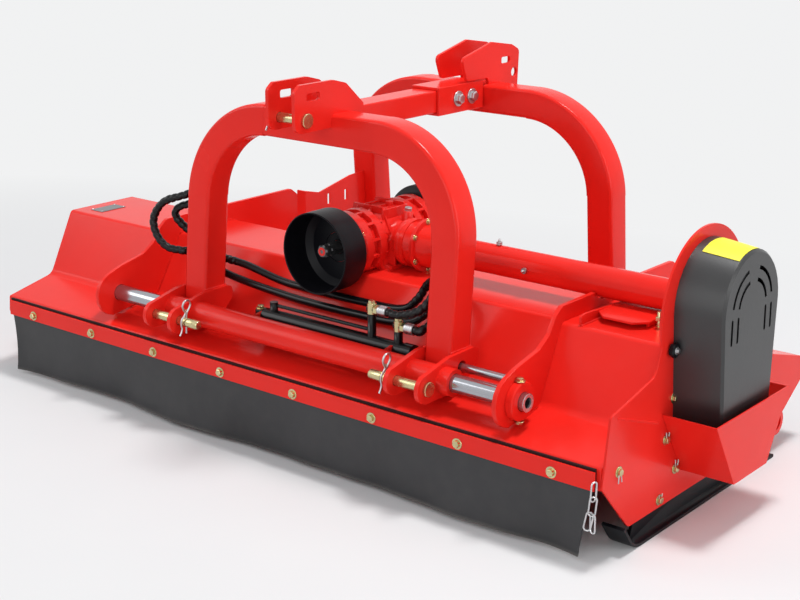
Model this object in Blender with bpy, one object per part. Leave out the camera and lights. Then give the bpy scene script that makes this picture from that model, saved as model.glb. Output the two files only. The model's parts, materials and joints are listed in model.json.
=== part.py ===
"""Offset flail mulcher for a tractor's three-point linkage, in metres, +Z up.

The working width runs along X, with the belt drive at +X. The rubber flap hangs along the side
facing -Y and the roller runs along the side facing +Y. Z = 0 is the ground.
"""

import math

import bmesh
import bpy
from mathutils import Matrix, Vector

# Free gap between neighbours that touch, and running gap round a turning or sliding piece.
GAP = 0.0003
RUN = 0.0008

# Housing: the shell between the two side plates.
SHELL_HALF = 1.009
SHEET = 0.006
SIDE_PLATE = 0.006
SHELL_DEPTH = 0.995
LIP_Z = 0.222
APRON_Y = 0.155
APRON_Z = 0.262
BOX_TOP_Y0 = 0.240
BOX_TOP_Z = 0.436
MID_RISE_Y = 0.195
MID_TOP_Y0 = 0.290
MID_TOP_Y1 = 0.500
MID_TOP_Z = 0.426
SLOPE_Y = 0.800
SLOPE_Z = 0.270
REAR_Z = 0.215
FLANGE_H = 0.025
CHEEK_Z = 0.050

# Front strip and rubber flap.
STRIP_T = 0.005
STRIP_Z0 = 0.171
BAND_T = 0.006
FLAP_Z0 = 0.012
FLAP_INSET = 0.041
FLAP_HALF = SHELL_HALF - FLAP_INSET
FLAP_T = 0.006
STRIP_BOLTS = 8
STRIP_BOLT_R = 0.009
STRIP_BOLT_INSET = 0.119
STRIP_BOLT_END = 0.1175

# Slide bars, the plates that carry them, and the carriages that slide on them.
BAR_R = 0.022
BAR_BORE = 0.013
BAR_Y = 0.060
BAR_Z = 0.298
BRACKET_T = 0.012
BRACKET_LEFT_X = -0.600
BRACKET_INSET = 0.274
BRACKET_RIGHT_X = SHELL_HALF - BRACKET_INSET
BRACKET_TOP_Z = 0.475
BRACKET_NOSE_R = 0.062
COLLAR_R = 0.046
COLLAR_L = 0.020
SLEEVE_R = 0.033
SLEEVE_X0 = -0.393
SLEEVE_X1 = 0.575

# Linkage: arches, lower clevises, top beam and top link brackets.
LINK_X = 0.080
HITCH_SPREAD = 0.825
LEG_W = 0.080
LEG_D = 0.080
ARCH_TOP_Z = 0.866
ARCH_R = 0.270
FOOT_Z = 0.278
FOOT_Y = 0.140
LEAN = 0.080
EAR_T = 0.012
PIN_R = 0.0125
PIN_Y = -0.004
PIN_Z = 0.294
EAR_NOSE_R = 0.036
EAR_TOP_Z = 0.350
BEAM_W = 0.076
BEAM_H = 0.060
CLAMP_WALL = 0.008
CLAMP_L = 0.200
TOP_EAR_T = 0.010
TOP_PIN_Z = 0.862
GUIDE_REACH = 0.2615
GUIDE_RISE = 0.026

# Side shift cylinder.
CYL_R = 0.022
CYL_WALL = 0.004
CYL_ROD_R = 0.0105
CYL_Y = 0.127
CYL_Z = 0.312
CYL_X0 = -0.094
CYL_X1 = 0.400
PISTON_X = 0.110
HOSE_R = 0.0115

# Gearbox, drive shaft and belt drive.
GEAR_X = 0.043
DRIVE_Y = 0.420
DRIVE_Z = 0.494
GEAR_R = 0.088
GUARD_R = 0.107
GUARD_T = 0.004
GUARD_L = 0.097
GUARD_Y = 0.165
PTO_R = 0.0175
TUBE_R = 0.038
TUBE_WALL = 0.005
SHAFT_R = 0.020
UPPER_PULLEY_R = 0.095
LOWER_PULLEY_R = 0.078
PULLEY_W = 0.068
BELTS = 4
COVER_R = 0.146
COVER_DEPTH = 0.116
COVER_DRAFT = 0.012
COVER_T = 0.003
COVER_TAPER = 0.018
COVER_Z0 = 0.240
BACK_R = 0.196
TRAY_T = 0.004
TRAY_DEPTH = 0.136
TRAY_TOP = 0.358
TRAY_BOTTOM = 0.162
TRAY_Z0 = 0.112
TRAY_Z1 = 0.275
TENSION_INSET = 0.215

# Rotor, hammers and roller.
ROTOR_Z = 0.235
ROTOR_R = 0.054
ROTOR_END_GAP = 0.024
ROTOR_HALF = SHELL_HALF - ROTOR_END_GAP
ROTOR_STUB = 0.0267
BEARING_L = 0.035
HAMMERS = 12
HAMMER_INSET = 0.140
BLADE_INSET = 0.079
PIVOT_R = 0.084
HAMMER_PIN_R = 0.008
HAMMER_LEN = 0.090
HAMMER_W = 0.100
HUB_W = 0.036
LUG_T = 0.009
ROLLER_Y = 0.860
ROLLER_R = 0.070
ROLLER_INSET = 0.054
ROLLER_HALF = SHELL_HALF - ROLLER_INSET
ROLLER_END_GAP = 0.011

# Skids.
SKID_W = 0.058
SKID_T = 0.008
SKID_INSET = 0.0353


def clear_scene():
    for old in list(bpy.data.objects):
        bpy.data.objects.remove(old, do_unlink=True)


def material(name, colour, roughness, metallic=0.0):
    """A Principled material with this base colour (linear RGB)."""
    mat = bpy.data.materials.new(name)
    mat.use_nodes = True
    bsdf = mat.node_tree.nodes["Principled BSDF"]
    bsdf.inputs["Base Color"].default_value = (*colour, 1.0)
    bsdf.inputs["Roughness"].default_value = roughness
    bsdf.inputs["Metallic"].default_value = metallic
    mat.diffuse_color = (*colour, 1.0)
    return mat


def from_bmesh(name, bm, mat=None):
    bmesh.ops.remove_doubles(bm, verts=bm.verts, dist=1e-6)
    bmesh.ops.recalc_face_normals(bm, faces=bm.faces)
    mesh = bpy.data.meshes.new(name)
    bm.to_mesh(mesh)
    bm.free()
    if mat is not None:
        mesh.materials.append(mat)
    mesh.set_sharp_from_angle(angle=math.radians(35))
    obj = bpy.data.objects.new(name, mesh)
    bpy.context.scene.collection.objects.link(obj)
    return obj


def frame_of(axis):
    """Columns u, v, w of a right-handed frame whose w is this axis."""
    return {
        "X": (Vector((0, 1, 0)), Vector((0, 0, 1)), Vector((1, 0, 0))),
        "Y": (Vector((0, 0, 1)), Vector((1, 0, 0)), Vector((0, 1, 0))),
        "Z": (Vector((1, 0, 0)), Vector((0, 1, 0)), Vector((0, 0, 1))),
    }[axis]


def plate(name, outline, axis, a, b, mat=None, holes=()):
    """A flat plate: the outline and its holes (each a list of points) extruded from a to b."""
    u, v, w = frame_of(axis)
    bm = bmesh.new()
    edges = []
    for loop in (outline, *holes):
        verts = [bm.verts.new(u * p + v * q + w * a) for p, q in loop]
        edges += [bm.edges.new((verts[i], verts[i - 1])) for i in range(len(verts))]
    bmesh.ops.triangle_fill(bm, edges=edges, use_beauty=True, use_dissolve=False)
    grown = bmesh.ops.extrude_face_region(bm, geom=bm.faces[:])
    moved = [g for g in grown["geom"] if isinstance(g, bmesh.types.BMVert)]
    bmesh.ops.translate(bm, verts=moved, vec=w * (b - a))
    return from_bmesh(name, bm, mat)


def ring_points(cy, cz, radius, count=24, start=0.0, sweep=math.tau):
    """Points round a circle; a full turn leaves out the last point."""
    last = count if abs(sweep - math.tau) < 1e-9 else count - 1
    return [
        (cy + radius * math.cos(start + sweep * i / last), cz + radius * math.sin(start + sweep * i / last))
        for i in range(count)
    ]


def turned(name, profile, axis, centre, mat=None, count=24):
    """A body of revolution. profile lists (along, radius) round the closed section."""
    u, v, w = frame_of(axis)
    bm = bmesh.new()
    rows = []
    for along, radius in profile:
        if radius < 1e-7:
            rows.append([bm.verts.new(centre + w * along)])
            continue
        rows.append(
            [
                bm.verts.new(
                    centre + w * along + (u * math.cos(t) + v * math.sin(t)) * radius
                )
                for t in (math.tau * i / count for i in range(count))
            ]
        )
    pairs = zip(rows, rows[1:] + rows[:1]) if all(len(r) > 1 for r in rows) else zip(rows, rows[1:])
    for one, two in pairs:
        for i in range(count):
            j = (i + 1) % count
            corners = [one[i % len(one)], one[j % len(one)], two[j % len(two)], two[i % len(two)]]
            corners = list(dict.fromkeys(corners))
            if len(corners) > 2:
                bm.faces.new(corners)
    return from_bmesh(name, bm, mat)


def rod(name, axis, centre, a, b, radius, mat=None, count=18, chamfer=0.0):
    """A solid round bar along an axis from a to b, with its ends chamfered if asked."""
    c = chamfer
    profile = [(a, 0.0), (a, radius - c), (a + c, radius), (b - c, radius), (b, radius - c), (b, 0.0)]
    if c == 0.0:
        profile = [(a, 0.0), (a, radius), (b, radius), (b, 0.0)]
    return turned(name, profile, axis, centre, mat, count)


def pipe(name, axis, centre, a, b, outer, inner, mat=None, count=20):
    """A round tube along an axis."""
    return turned(name, [(a, inner), (a, outer), (b, outer), (b, inner)], axis, centre, mat, count)


def box(name, x0, x1, y0, y1, z0, z1, mat=None):
    bm = bmesh.new()
    made = bmesh.ops.create_cube(bm, size=1.0)
    bmesh.ops.scale(bm, verts=made["verts"], vec=(x1 - x0, y1 - y0, z1 - z0))
    bmesh.ops.translate(bm, verts=bm.verts, vec=((x0 + x1) / 2, (y0 + y1) / 2, (z0 + z1) / 2))
    return from_bmesh(name, bm, mat)


def loft(name, sections, mat=None):
    """A closed body through sections of equally many points, with flat ends."""
    bm = bmesh.new()
    rows = [[bm.verts.new(p) for p in section] for section in sections]
    for one, two in zip(rows, rows[1:]):
        for i in range(len(one)):
            bm.faces.new((one[i - 1], one[i], two[i], two[i - 1]))
    bm.faces.new(rows[0])
    bm.faces.new(rows[-1])
    return from_bmesh(name, bm, mat)


def boolean(target, others, operation):
    """Applies Booleans of meshes to the target and removes the others."""
    for other in others:
        mod = target.modifiers.new("cut", "BOOLEAN")
        mod.operation = operation
        mod.object = other
        mod.solver = "EXACT"
    graph = bpy.context.evaluated_depsgraph_get()
    mesh = bpy.data.meshes.new_from_object(target.evaluated_get(graph))
    target.modifiers.clear()
    for flat in (math.radians(0.3), 0.0):
        bm = bmesh.new()
        bm.from_mesh(mesh)
        bmesh.ops.remove_doubles(bm, verts=bm.verts, dist=2e-6)
        if flat:
            bmesh.ops.dissolve_limit(bm, angle_limit=flat, verts=bm.verts, edges=bm.edges)
        bmesh.ops.triangulate(bm, faces=[f for f in bm.faces if len(f.verts) > 4])
        bmesh.ops.holes_fill(bm, edges=[e for e in bm.edges if e.is_boundary], sides=4)
        closed = all(edge.is_manifold for edge in bm.edges)
        if closed or not flat:
            bm.to_mesh(mesh)
        bm.free()
        if closed:
            break
    mesh.set_sharp_from_angle(angle=math.radians(35))
    target.data = mesh
    for other in others:
        bpy.data.objects.remove(other, do_unlink=True)
    return target


def fuse(name, pieces, mat):
    """One body of several overlapping pieces, under this name."""
    body = boolean(pieces[0], pieces[1:], "UNION") if len(pieces) > 1 else pieces[0]
    body.name = name
    body.data.name = name
    body.data.materials.clear()
    body.data.materials.append(mat)
    for face in body.data.polygons:
        face.material_index = 0
    return body


def cut(body, cutters):
    return boolean(body, cutters, "DIFFERENCE")


def hexagon(name, axis, centre, a, b, radius):
    return turned(name, [(a, 0.0), (a, radius), (b, radius), (b, 0.0)], axis, centre, None, 6)


def set_origin(obj, point):
    """Moves the object's origin to a world point and leaves its surface where it is."""
    offset = Vector(point)
    obj.data.transform(Matrix.Translation(-offset))
    obj.location = offset
    return obj


def sheet_outline(path, thickness):
    """The closed outline of a bent sheet whose outer face runs along the path."""
    inner = []
    for i, point in enumerate(path):
        p = Vector(point)
        before = Vector(path[i]) - Vector(path[i - 1]) if i else None
        after = Vector(path[i + 1]) - p if i < len(path) - 1 else None
        normals = [Vector((d.y, -d.x)).normalized() for d in (before, after) if d is not None]
        middle = sum(normals, Vector((0, 0))).normalized()
        inner.append(p + middle * thickness / max(middle.dot(normals[0]), 0.5))
    return [tuple(p) for p in path] + [tuple(p) for p in reversed(inner)]


def rounded(path, radii, steps=3):
    """An open path with an arc of the given radius at each inner corner (0 keeps it sharp)."""
    out = [path[0]]
    for i in range(1, len(path) - 1):
        p = Vector(path[i])
        to_a, to_b = Vector(path[i - 1]) - p, Vector(path[i + 1]) - p
        radius = radii[i - 1]
        half = to_a.angle(to_b) / 2
        if radius <= 0 or abs(half - math.pi / 2) < 1e-3:
            out.append(path[i])
            continue
        reach = min(radius / math.tan(half), 0.49 * to_a.length, 0.49 * to_b.length)
        radius = reach * math.tan(half)
        centre = p + (to_a.normalized() + to_b.normalized()).normalized() * radius / math.sin(half)
        first = p + to_a.normalized() * reach - centre
        last = p + to_b.normalized() * reach - centre
        turn = math.atan2(first.x * last.y - first.y * last.x, first.dot(last))
        for k in range(steps + 1):
            t = turn * k / steps
            arm = Vector((first.x * math.cos(t) - first.y * math.sin(t), first.x * math.sin(t) + first.y * math.cos(t)))
            out.append(tuple(centre + arm))
    out.append(path[-1])
    return out


def rounded_loop(points, radii, steps=3):
    """A closed outline with arcs at its corners."""
    n = len(points)
    out = []
    for i in range(n):
        trio = [points[i - 1], points[i], points[(i + 1) % n]]
        middle_a = tuple((Vector(trio[0]) + Vector(trio[1])) / 2)
        middle_b = tuple((Vector(trio[1]) + Vector(trio[2])) / 2)
        out += rounded([middle_a, trio[1], middle_b], [radii[i]], steps)[1:-1]
    return out


def smooth_path(points, spacing):
    """Evenly spaced points on a smooth curve through the route's points."""
    pts = [Vector(p) for p in points]
    pts = [2 * pts[0] - pts[1]] + pts + [2 * pts[-1] - pts[-2]]
    fine = []
    for i in range(1, len(pts) - 2):
        a, b, c, d = pts[i - 1 : i + 3]
        for k in range(24):
            t = k / 24
            fine.append(
                0.5 * (2 * b + (c - a) * t + (2 * a - 5 * b + 4 * c - d) * t * t + (3 * b - a - 3 * c + d) * t**3)
            )
    fine.append(pts[-2])
    total = sum((q - p).length for p, q in zip(fine, fine[1:]))
    count = max(2, round(total / spacing))
    out, run, target = [fine[0]], 0.0, total / count
    for p, q in zip(fine, fine[1:]):
        step = (q - p).length
        while run + step >= target * len(out) - 1e-9 and len(out) < count:
            out.append(p.lerp(q, (target * len(out) - run) / step))
        run += step
    out.append(fine[-1])
    # A point just inside each end keeps the end rings square to the couplings.
    out.insert(1, fine[0] + (fine[1] - fine[0]).normalized() * spacing / 3)
    out.insert(-1, fine[-1] + (fine[-2] - fine[-1]).normalized() * spacing / 3)
    return out, total


def hose(name, points, radius, mat, spacing=0.030, resolution=2):
    """A round hose along a smooth curve through its route's points."""
    path, length = smooth_path(points, spacing)
    curve = bpy.data.curves.new(name, "CURVE")
    curve.dimensions = "3D"
    curve.bevel_depth = radius
    curve.bevel_resolution = resolution
    curve.use_fill_caps = True
    spline = curve.splines.new("POLY")
    spline.points.add(len(path) - 1)
    for point, at in zip(spline.points, path):
        point.co = (*at, 1.0)
    curve.materials.append(mat)
    obj = bpy.data.objects.new(name, curve)
    bpy.context.scene.collection.objects.link(obj)
    print(f"{name}: {length * 1000:.0f} mm long, {len(path)} points")
    return obj


# Materials

clear_scene()
RED = material("red_paint", (0.70, 0.018, 0.014), 0.28)
DARK = material("black_paint", (0.014, 0.014, 0.016), 0.40)
RUBBER = material("rubber", (0.030, 0.031, 0.033), 0.70)
HOSE = material("hose_rubber", (0.012, 0.013, 0.015), 0.50)
PLASTIC = material("guard_plastic", (0.012, 0.012, 0.014), 0.45)
CHROME = material("chrome", (0.70, 0.71, 0.73), 0.12, 1.0)
STEEL = material("steel", (0.45, 0.45, 0.46), 0.35, 1.0)
ZINC = material("yellow_zinc", (0.58, 0.45, 0.20), 0.32, 1.0)
CAST = material("forged_steel", (0.16, 0.16, 0.17), 0.55, 1.0)

MID_Y = SHELL_DEPTH / 2
SIDE_X = SHELL_HALF + GAP
OUTER_X = SIDE_X + SIDE_PLATE
LEG_X = (LINK_X - HITCH_SPREAD / 2, LINK_X + HITCH_SPREAD / 2)
BOX_X = (BRACKET_LEFT_X - GAP, BRACKET_RIGHT_X + BRACKET_T + GAP)
FLAP_PIVOT_Z = STRIP_Z0 - FLAP_T / 2


def at(y, z, x=0.0):
    return Vector((x, y, z))


def mirrored(obj, name, centre=MID_Y):
    """A copy of the object on the other side of the plane Y = centre."""
    mesh = obj.data.copy()
    mesh.transform(Matrix.Translation((0, 2 * centre, 0)) @ Matrix.Diagonal((1, -1, 1, 1)))
    mesh.flip_normals()
    mesh.name = name
    copy = bpy.data.objects.new(name, mesh)
    bpy.context.scene.collection.objects.link(copy)
    return copy


# Housing shell

REAR_PATH = [(SLOPE_Y, SLOPE_Z), (SHELL_DEPTH - 0.005, REAR_Z), (SHELL_DEPTH - 0.005, REAR_Z - FLANGE_H)]
MID_PATH = [(0, STRIP_Z0), (0, LIP_Z), (MID_RISE_Y, APRON_Z + 0.004), (MID_TOP_Y0, MID_TOP_Z)]
MID_PATH += [(MID_TOP_Y1, MID_TOP_Z)] + REAR_PATH
# The raised ends share the apron's and the rear slope's planes with the middle.
BOX_APRON_Z = LIP_Z + (APRON_Z + 0.004 - LIP_Z) * APRON_Y / MID_RISE_Y
BOX_TOP_Y1 = MID_TOP_Y1 - (BOX_TOP_Z - MID_TOP_Z) * (SLOPE_Y - MID_TOP_Y1) / (MID_TOP_Z - SLOPE_Z)
BOX_PATH = [(0, STRIP_Z0), (0, LIP_Z), (APRON_Y, BOX_APRON_Z), (BOX_TOP_Y0, BOX_TOP_Z)]
BOX_PATH += [(BOX_TOP_Y1, BOX_TOP_Z)] + REAR_PATH
BENDS = [0.008, 0.030, 0.014, 0.014, 0.040, 0.008]


def build_shell():
    """One bent sheet lofted along X: the middle profile, stepping up to a raised profile at each end."""
    sections = {}
    for name, path in (("box", BOX_PATH), ("mid", MID_PATH)):
        line = rounded(path, BENDS)
        strip = sheet_outline(line, SHEET)
        sections[name] = (line, strip[len(line) :])
    stations = [("box", -SHELL_HALF, -SHELL_HALF)]
    for (outer_x, inner_x), order in zip(
        ((BOX_X[0], BOX_X[0] - SHEET), (BOX_X[1], BOX_X[1] + SHEET)), (("box", "mid"), ("mid", "box"))
    ):
        stations += [(name, outer_x, inner_x) for name in order]
    stations.append(("box", SHELL_HALF, SHELL_HALF))
    rows = []
    for name, outer_x, inner_x in stations:
        outer, inner = sections[name]
        rows.append([at(y, z, outer_x) for y, z in outer] + [at(y, z, inner_x) for y, z in inner])
    return loft("shell", rows, RED)


SHELL = build_shell()

CHEEK = [(-0.003, 0.177), (0.112, CHEEK_Z), (0.800, CHEEK_Z), (SHELL_DEPTH - 0.010, 0.165)]
TAIL = [(SHELL_DEPTH, REAR_Z), (SLOPE_Y, SLOPE_Z + 0.001)]


def build_side(name, x0, x1, outline, holes):
    discs = [ring_points(cy, cz, radius, 16) for cy, cz, radius in holes]
    side = plate(name, outline, "X", x0, x1, RED, discs)
    return side


def back_arc():
    centre_z = DRIVE_Z - 0.014
    return ring_points(DRIVE_Y, centre_z, BACK_R, 17, math.radians(-32), math.radians(226))


left_top = [(BOX_TOP_Y1, BOX_TOP_Z), (BOX_TOP_Y0, BOX_TOP_Z), (APRON_Y, BOX_APRON_Z), (0.0, LIP_Z)]
left_outline = rounded_loop(CHEEK + TAIL + left_top, [0.01, 0.02, 0.04, 0.03, 0.01, 0.04, 0.014, 0.014, 0.03, 0.004])
SIDE_HOLE = 0.032
SIDE_L = build_side("side_plate_left", -SIDE_X - SIDE_PLATE, -SIDE_X, left_outline, [(DRIVE_Y, ROTOR_Z, SIDE_HOLE)])
front = [(0.206, 0.372), (0.075, 0.342), (0.024, 0.331)]
arc = back_arc()
right_outline = rounded_loop(
    CHEEK + TAIL + [arc[0]] + arc[1:-1] + [arc[-1]] + front,
    [0.01, 0.02, 0.04, 0.03, 0.01, 0.04] + [0.0] * len(arc) + [0.05, 0.04, 0.008],
)
SIDE_R = build_side(
    "side_plate_right", SIDE_X, OUTER_X, right_outline, [(DRIVE_Y, ROTOR_Z, SIDE_HOLE), (DRIVE_Y, DRIVE_Z, SIDE_HOLE)]
)

# Front strip, clamp band and flap

BAND_Y1 = -GAP
BAND_Y0 = BAND_Y1 - BAND_T
STRIP_Y1 = BAND_Y0 - GAP
STRIP_Y0 = STRIP_Y1 - STRIP_T
BAND = box("flap_band", -FLAP_HALF, FLAP_HALF, BAND_Y0, BAND_Y1, STRIP_Z0 + GAP, LIP_Z - 0.002, RUBBER)


def build_strip():
    strip = box("front_strip", -SHELL_HALF + 0.009, SHELL_HALF - 0.009, STRIP_Y0, STRIP_Y1, STRIP_Z0, 0.214, RED)
    heads = []
    run = 2 * SHELL_HALF - STRIP_BOLT_INSET - STRIP_BOLT_END
    for i in range(STRIP_BOLTS):
        x = STRIP_BOLT_INSET - SHELL_HALF + run * i / (STRIP_BOLTS - 1)
        heads.append(hexagon("head", "Y", at(0, 0.187, x), STRIP_Y0 - 0.006, STRIP_Y0 + 0.002, STRIP_BOLT_R))
    return fuse("front_strip", [strip] + heads, RED)


build_strip()


def build_flap():
    """The hanging sheet: its wave grows from nothing at the clamp to full at the hem."""
    columns, rows = 42, 4
    top = FLAP_PIVOT_Z
    bm = bmesh.new()
    grid = []
    middle = (BAND_Y0 + BAND_Y1) / 2

    def sway(x, depth):
        fold = 0.55 * math.sin(9.5 * x + 0.6) + 0.45 * math.sin(17.0 * x + 2.0)
        return 0.011 * depth**1.5 * fold - 0.004 * depth

    for i in range(columns + 1):
        x = -FLAP_HALF + 2 * FLAP_HALF * i / columns
        loop = []
        for j in range(rows + 1):
            depth = j / rows
            z = top - depth * (top - FLAP_Z0)
            loop.append((x, middle - FLAP_T / 2 + sway(x, depth), z))
        back = [(x, y + FLAP_T, z) for x, y, z in reversed(loop)]
        bead = [
            (x, middle + FLAP_T / 2 * math.cos(t), top + FLAP_T / 2 * math.sin(t))
            for t in (math.radians(45), math.radians(90), math.radians(135))
        ]
        grid.append([bm.verts.new(p) for p in loop + back + bead])
    for one, two in zip(grid, grid[1:]):
        for k in range(len(one)):
            bm.faces.new((one[k - 1], one[k], two[k], two[k - 1]))
    bm.faces.new(grid[0])
    bm.faces.new(grid[-1])
    flap = from_bmesh("flap", bm, RUBBER)
    return set_origin(flap, (0, middle, top))


build_flap()

# Slide bars and their brackets

BAR_X0 = BRACKET_LEFT_X - COLLAR_L - 0.012
BAR_X1 = BRACKET_RIGHT_X + BRACKET_T + COLLAR_L + 0.012
bar = turned(
    "slide_bar_front",
    [(BAR_X0, BAR_BORE), (BAR_X0, BAR_R), (BAR_X1, BAR_R), (BAR_X1, BAR_BORE)],
    "X",
    at(BAR_Y, BAR_Z),
    CHROME,
)
mirrored(bar, "slide_bar_rear")


def bracket_outline():
    """The plate's front half from its top, round the nose and back under the bar to the deck."""
    nose_y, nose_z = BAR_Y - 0.018, BAR_Z + 0.002
    top = [(MID_Y, BRACKET_TOP_Z), (0.240, BRACKET_TOP_Z), (0.214, 0.455), (0.190, 0.418), (0.150, 0.392)]
    top = rounded([*top, (0.060, 0.372), (0.0, 0.352)], [0.020, 0.02, 0.03, 0.05, 0.05], 2)[:-1]
    return top + ring_points(nose_y, nose_z, BRACKET_NOSE_R, 8, math.radians(110), math.radians(150))


def build_bracket(name, x0, outer):
    """One plate from bar to bar, cut to the deck, with a clamp collar round each bar's end."""
    half = bracket_outline()
    deck = rounded(MID_PATH, BENDS)
    rear_half = [(2 * MID_Y - y, z) for y, z in reversed(half)]
    low = [(y, z + GAP * 2) for y, z in deck if 0.075 < y < SHELL_DEPTH - 0.075]
    outline = rear_half + half[1:] + low
    body = plate(name, outline, "X", x0, x0 + BRACKET_T)
    pieces = [body]
    for y in (BAR_Y, 2 * MID_Y - BAR_Y):
        a = x0 + BRACKET_T - 0.001 if outer > 0 else x0 - COLLAR_L
        b = x0 + BRACKET_T + COLLAR_L if outer > 0 else x0 + 0.001
        pieces.append(rod("collar", "X", at(y, BAR_Z), a, b, COLLAR_R, None, 20, 0.003))
        for side in (-1, 1):
            mid = (a + b) / 2
            pieces.append(rod("screw", "Z", at(y, BAR_Z, mid), *sorted((side * 0.038, side * 0.053)), 0.006, None, 8))
    bracket = fuse(name, pieces, RED)
    holes = [
        rod("hole", "X", at(y, BAR_Z), x0 - 0.1, x0 + 0.1, BAR_R + GAP, None, 20) for y in (BAR_Y, 2 * MID_Y - BAR_Y)
    ]
    holes.append(rod("saddle", "X", at(DRIVE_Y, DRIVE_Z), x0 - 0.1, x0 + 0.1, TUBE_R + 0.004, None, 24))
    return cut(bracket, holes)


build_bracket("bar_bracket_left", BRACKET_LEFT_X, -1)
build_bracket("bar_bracket_right", BRACKET_RIGHT_X, 1)

# Linkage


def leg_y(z):
    return FOOT_Y + LEAN * (z - EAR_TOP_Z)


def build_arch(name):
    """A bent square tube from foot to foot, leaning inwards towards its top."""
    radius = ARCH_R - LEG_W / 2
    top = ARCH_TOP_Z - LEG_W / 2
    left, right = LEG_X
    steps = 7
    line = [(left, FOOT_Z, 0.0)]
    for k in range(steps + 1):
        t = math.pi / 2 * k / steps
        line.append((left + radius * (1 - math.cos(t)), top - radius * (1 - math.sin(t)), t))
    line += [(left + right - x, z, math.pi - t) for x, z, t in reversed(line)]
    corner, section = 0.010, []
    for sx, sy in ((1, 1), (-1, 1), (-1, -1), (1, -1)):
        start = math.atan2(sy, sx) - math.pi / 4
        for k in range(3):
            t = start + math.pi / 4 * k
            section.append(
                (
                    sx * (LEG_W / 2 - corner) + corner * math.cos(t),
                    sy * (LEG_D / 2 - corner) + corner * math.sin(t),
                )
            )
    rows = []
    for x, z, t in line:
        across = Vector((math.cos(t), 0, -math.sin(t)))
        row = []
        for a, b in section:
            p = Vector((x, 0, z)) + across * a
            p.y = leg_y(p.z) + b
            row.append(p)
        rows.append(row)
    return loft(name, rows)


def top_ear_outline():
    """The top link plate in Y and Z, straddling the arch's top."""
    top = ARCH_TOP_Z
    return rounded_loop(
        [
            (0.010, top - 0.034),
            (0.010, top + 0.068),
            (0.030, top + 0.084),
            (0.150, top + 0.084),
            (0.196, top + 0.072),
            (0.262, top + 0.014),
            (0.262, top - 0.030),
        ],
        [0.03, 0.014, 0.01, 0.02, 0.02, 0.01, 0.004],
    )


TOP_EARS = [LINK_X + side * (BEAM_W / 2 + GAP + TOP_EAR_T / 2) for side in (-1, 1)]


def build_top_ears():
    slot = rounded_loop(
        [(0.052, ARCH_TOP_Z + 0.042), (0.052, ARCH_TOP_Z + 0.062), (0.100, ARCH_TOP_Z + 0.062), (0.100, ARCH_TOP_Z + 0.042)],
        [0.009] * 4,
        2,
    )
    hole = ring_points(0.050, TOP_PIN_Z, PIN_R + RUN, 14)
    return [
        plate("top_ear", top_ear_outline(), "X", x - TOP_EAR_T / 2, x + TOP_EAR_T / 2, None, [slot, hole])
        for x in TOP_EARS
    ]


arch_front = fuse("arch_front", [build_arch("arch_front"), *build_top_ears()], RED)
rod_hole = rod("rod_hole", "X", at(CYL_Y, CYL_Z), LEG_X[1] - 0.1, LEG_X[1] + 0.1, CYL_ROD_R + 0.006, None, 16)
cut(arch_front, [rod_hole])
arch_rear = build_arch("arch_rear")
far_ears = []
for ear_x in TOP_EARS:
    far_ears.append(
        plate(
            "far_ear",
            rounded_loop(
                [
                    (0.063, ARCH_TOP_Z - 0.044),
                    (0.055, ARCH_TOP_Z + 0.083),
                    (0.090, ARCH_TOP_Z + 0.100),
                    (0.185, ARCH_TOP_Z + 0.115),
                    (0.324, ARCH_TOP_Z + 0.081),
                    (0.300, ARCH_TOP_Z + 0.018),
                    (0.205, ARCH_TOP_Z + 0.017),
                    (0.190, ARCH_TOP_Z - 0.026),
                ],
                [0.02, 0.014, 0.014, 0.02, 0.02, 0.01, 0.004, 0.004],
            ),
            "X",
            ear_x - TOP_EAR_T / 2,
            ear_x + TOP_EAR_T / 2,
            None,
            [
                rounded_loop(
                    [
                        (0.100, ARCH_TOP_Z + 0.050),
                        (0.100, ARCH_TOP_Z + 0.068),
                        (0.140, ARCH_TOP_Z + 0.068),
                        (0.140, ARCH_TOP_Z + 0.050),
                    ],
                    [0.008] * 4,
                    2,
                ),
                ring_points(0.079, ARCH_TOP_Z + 0.021, PIN_R + RUN, 14),
            ],
        )
    )
arch_rear = fuse("arch_rear_half", [arch_rear, *far_ears], RED)
mirrored(arch_rear, "arch_rear")
bpy.data.objects.remove(arch_rear, do_unlink=True)


def ear_outline():
    nose = ring_points(PIN_Y, PIN_Z, EAR_NOSE_R, 8, math.radians(122), math.radians(146))
    rest = [(0.098, 0.259), (0.150, 0.276), (0.192, 0.316), (0.192, EAR_TOP_Z), (0.080, EAR_TOP_Z - 0.002)]
    tail = rounded([nose[-1], *rest, nose[0]], [0.03, 0.02, 0.02, 0.02, 0.05], 2)
    return nose + tail[1:-1]


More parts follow.
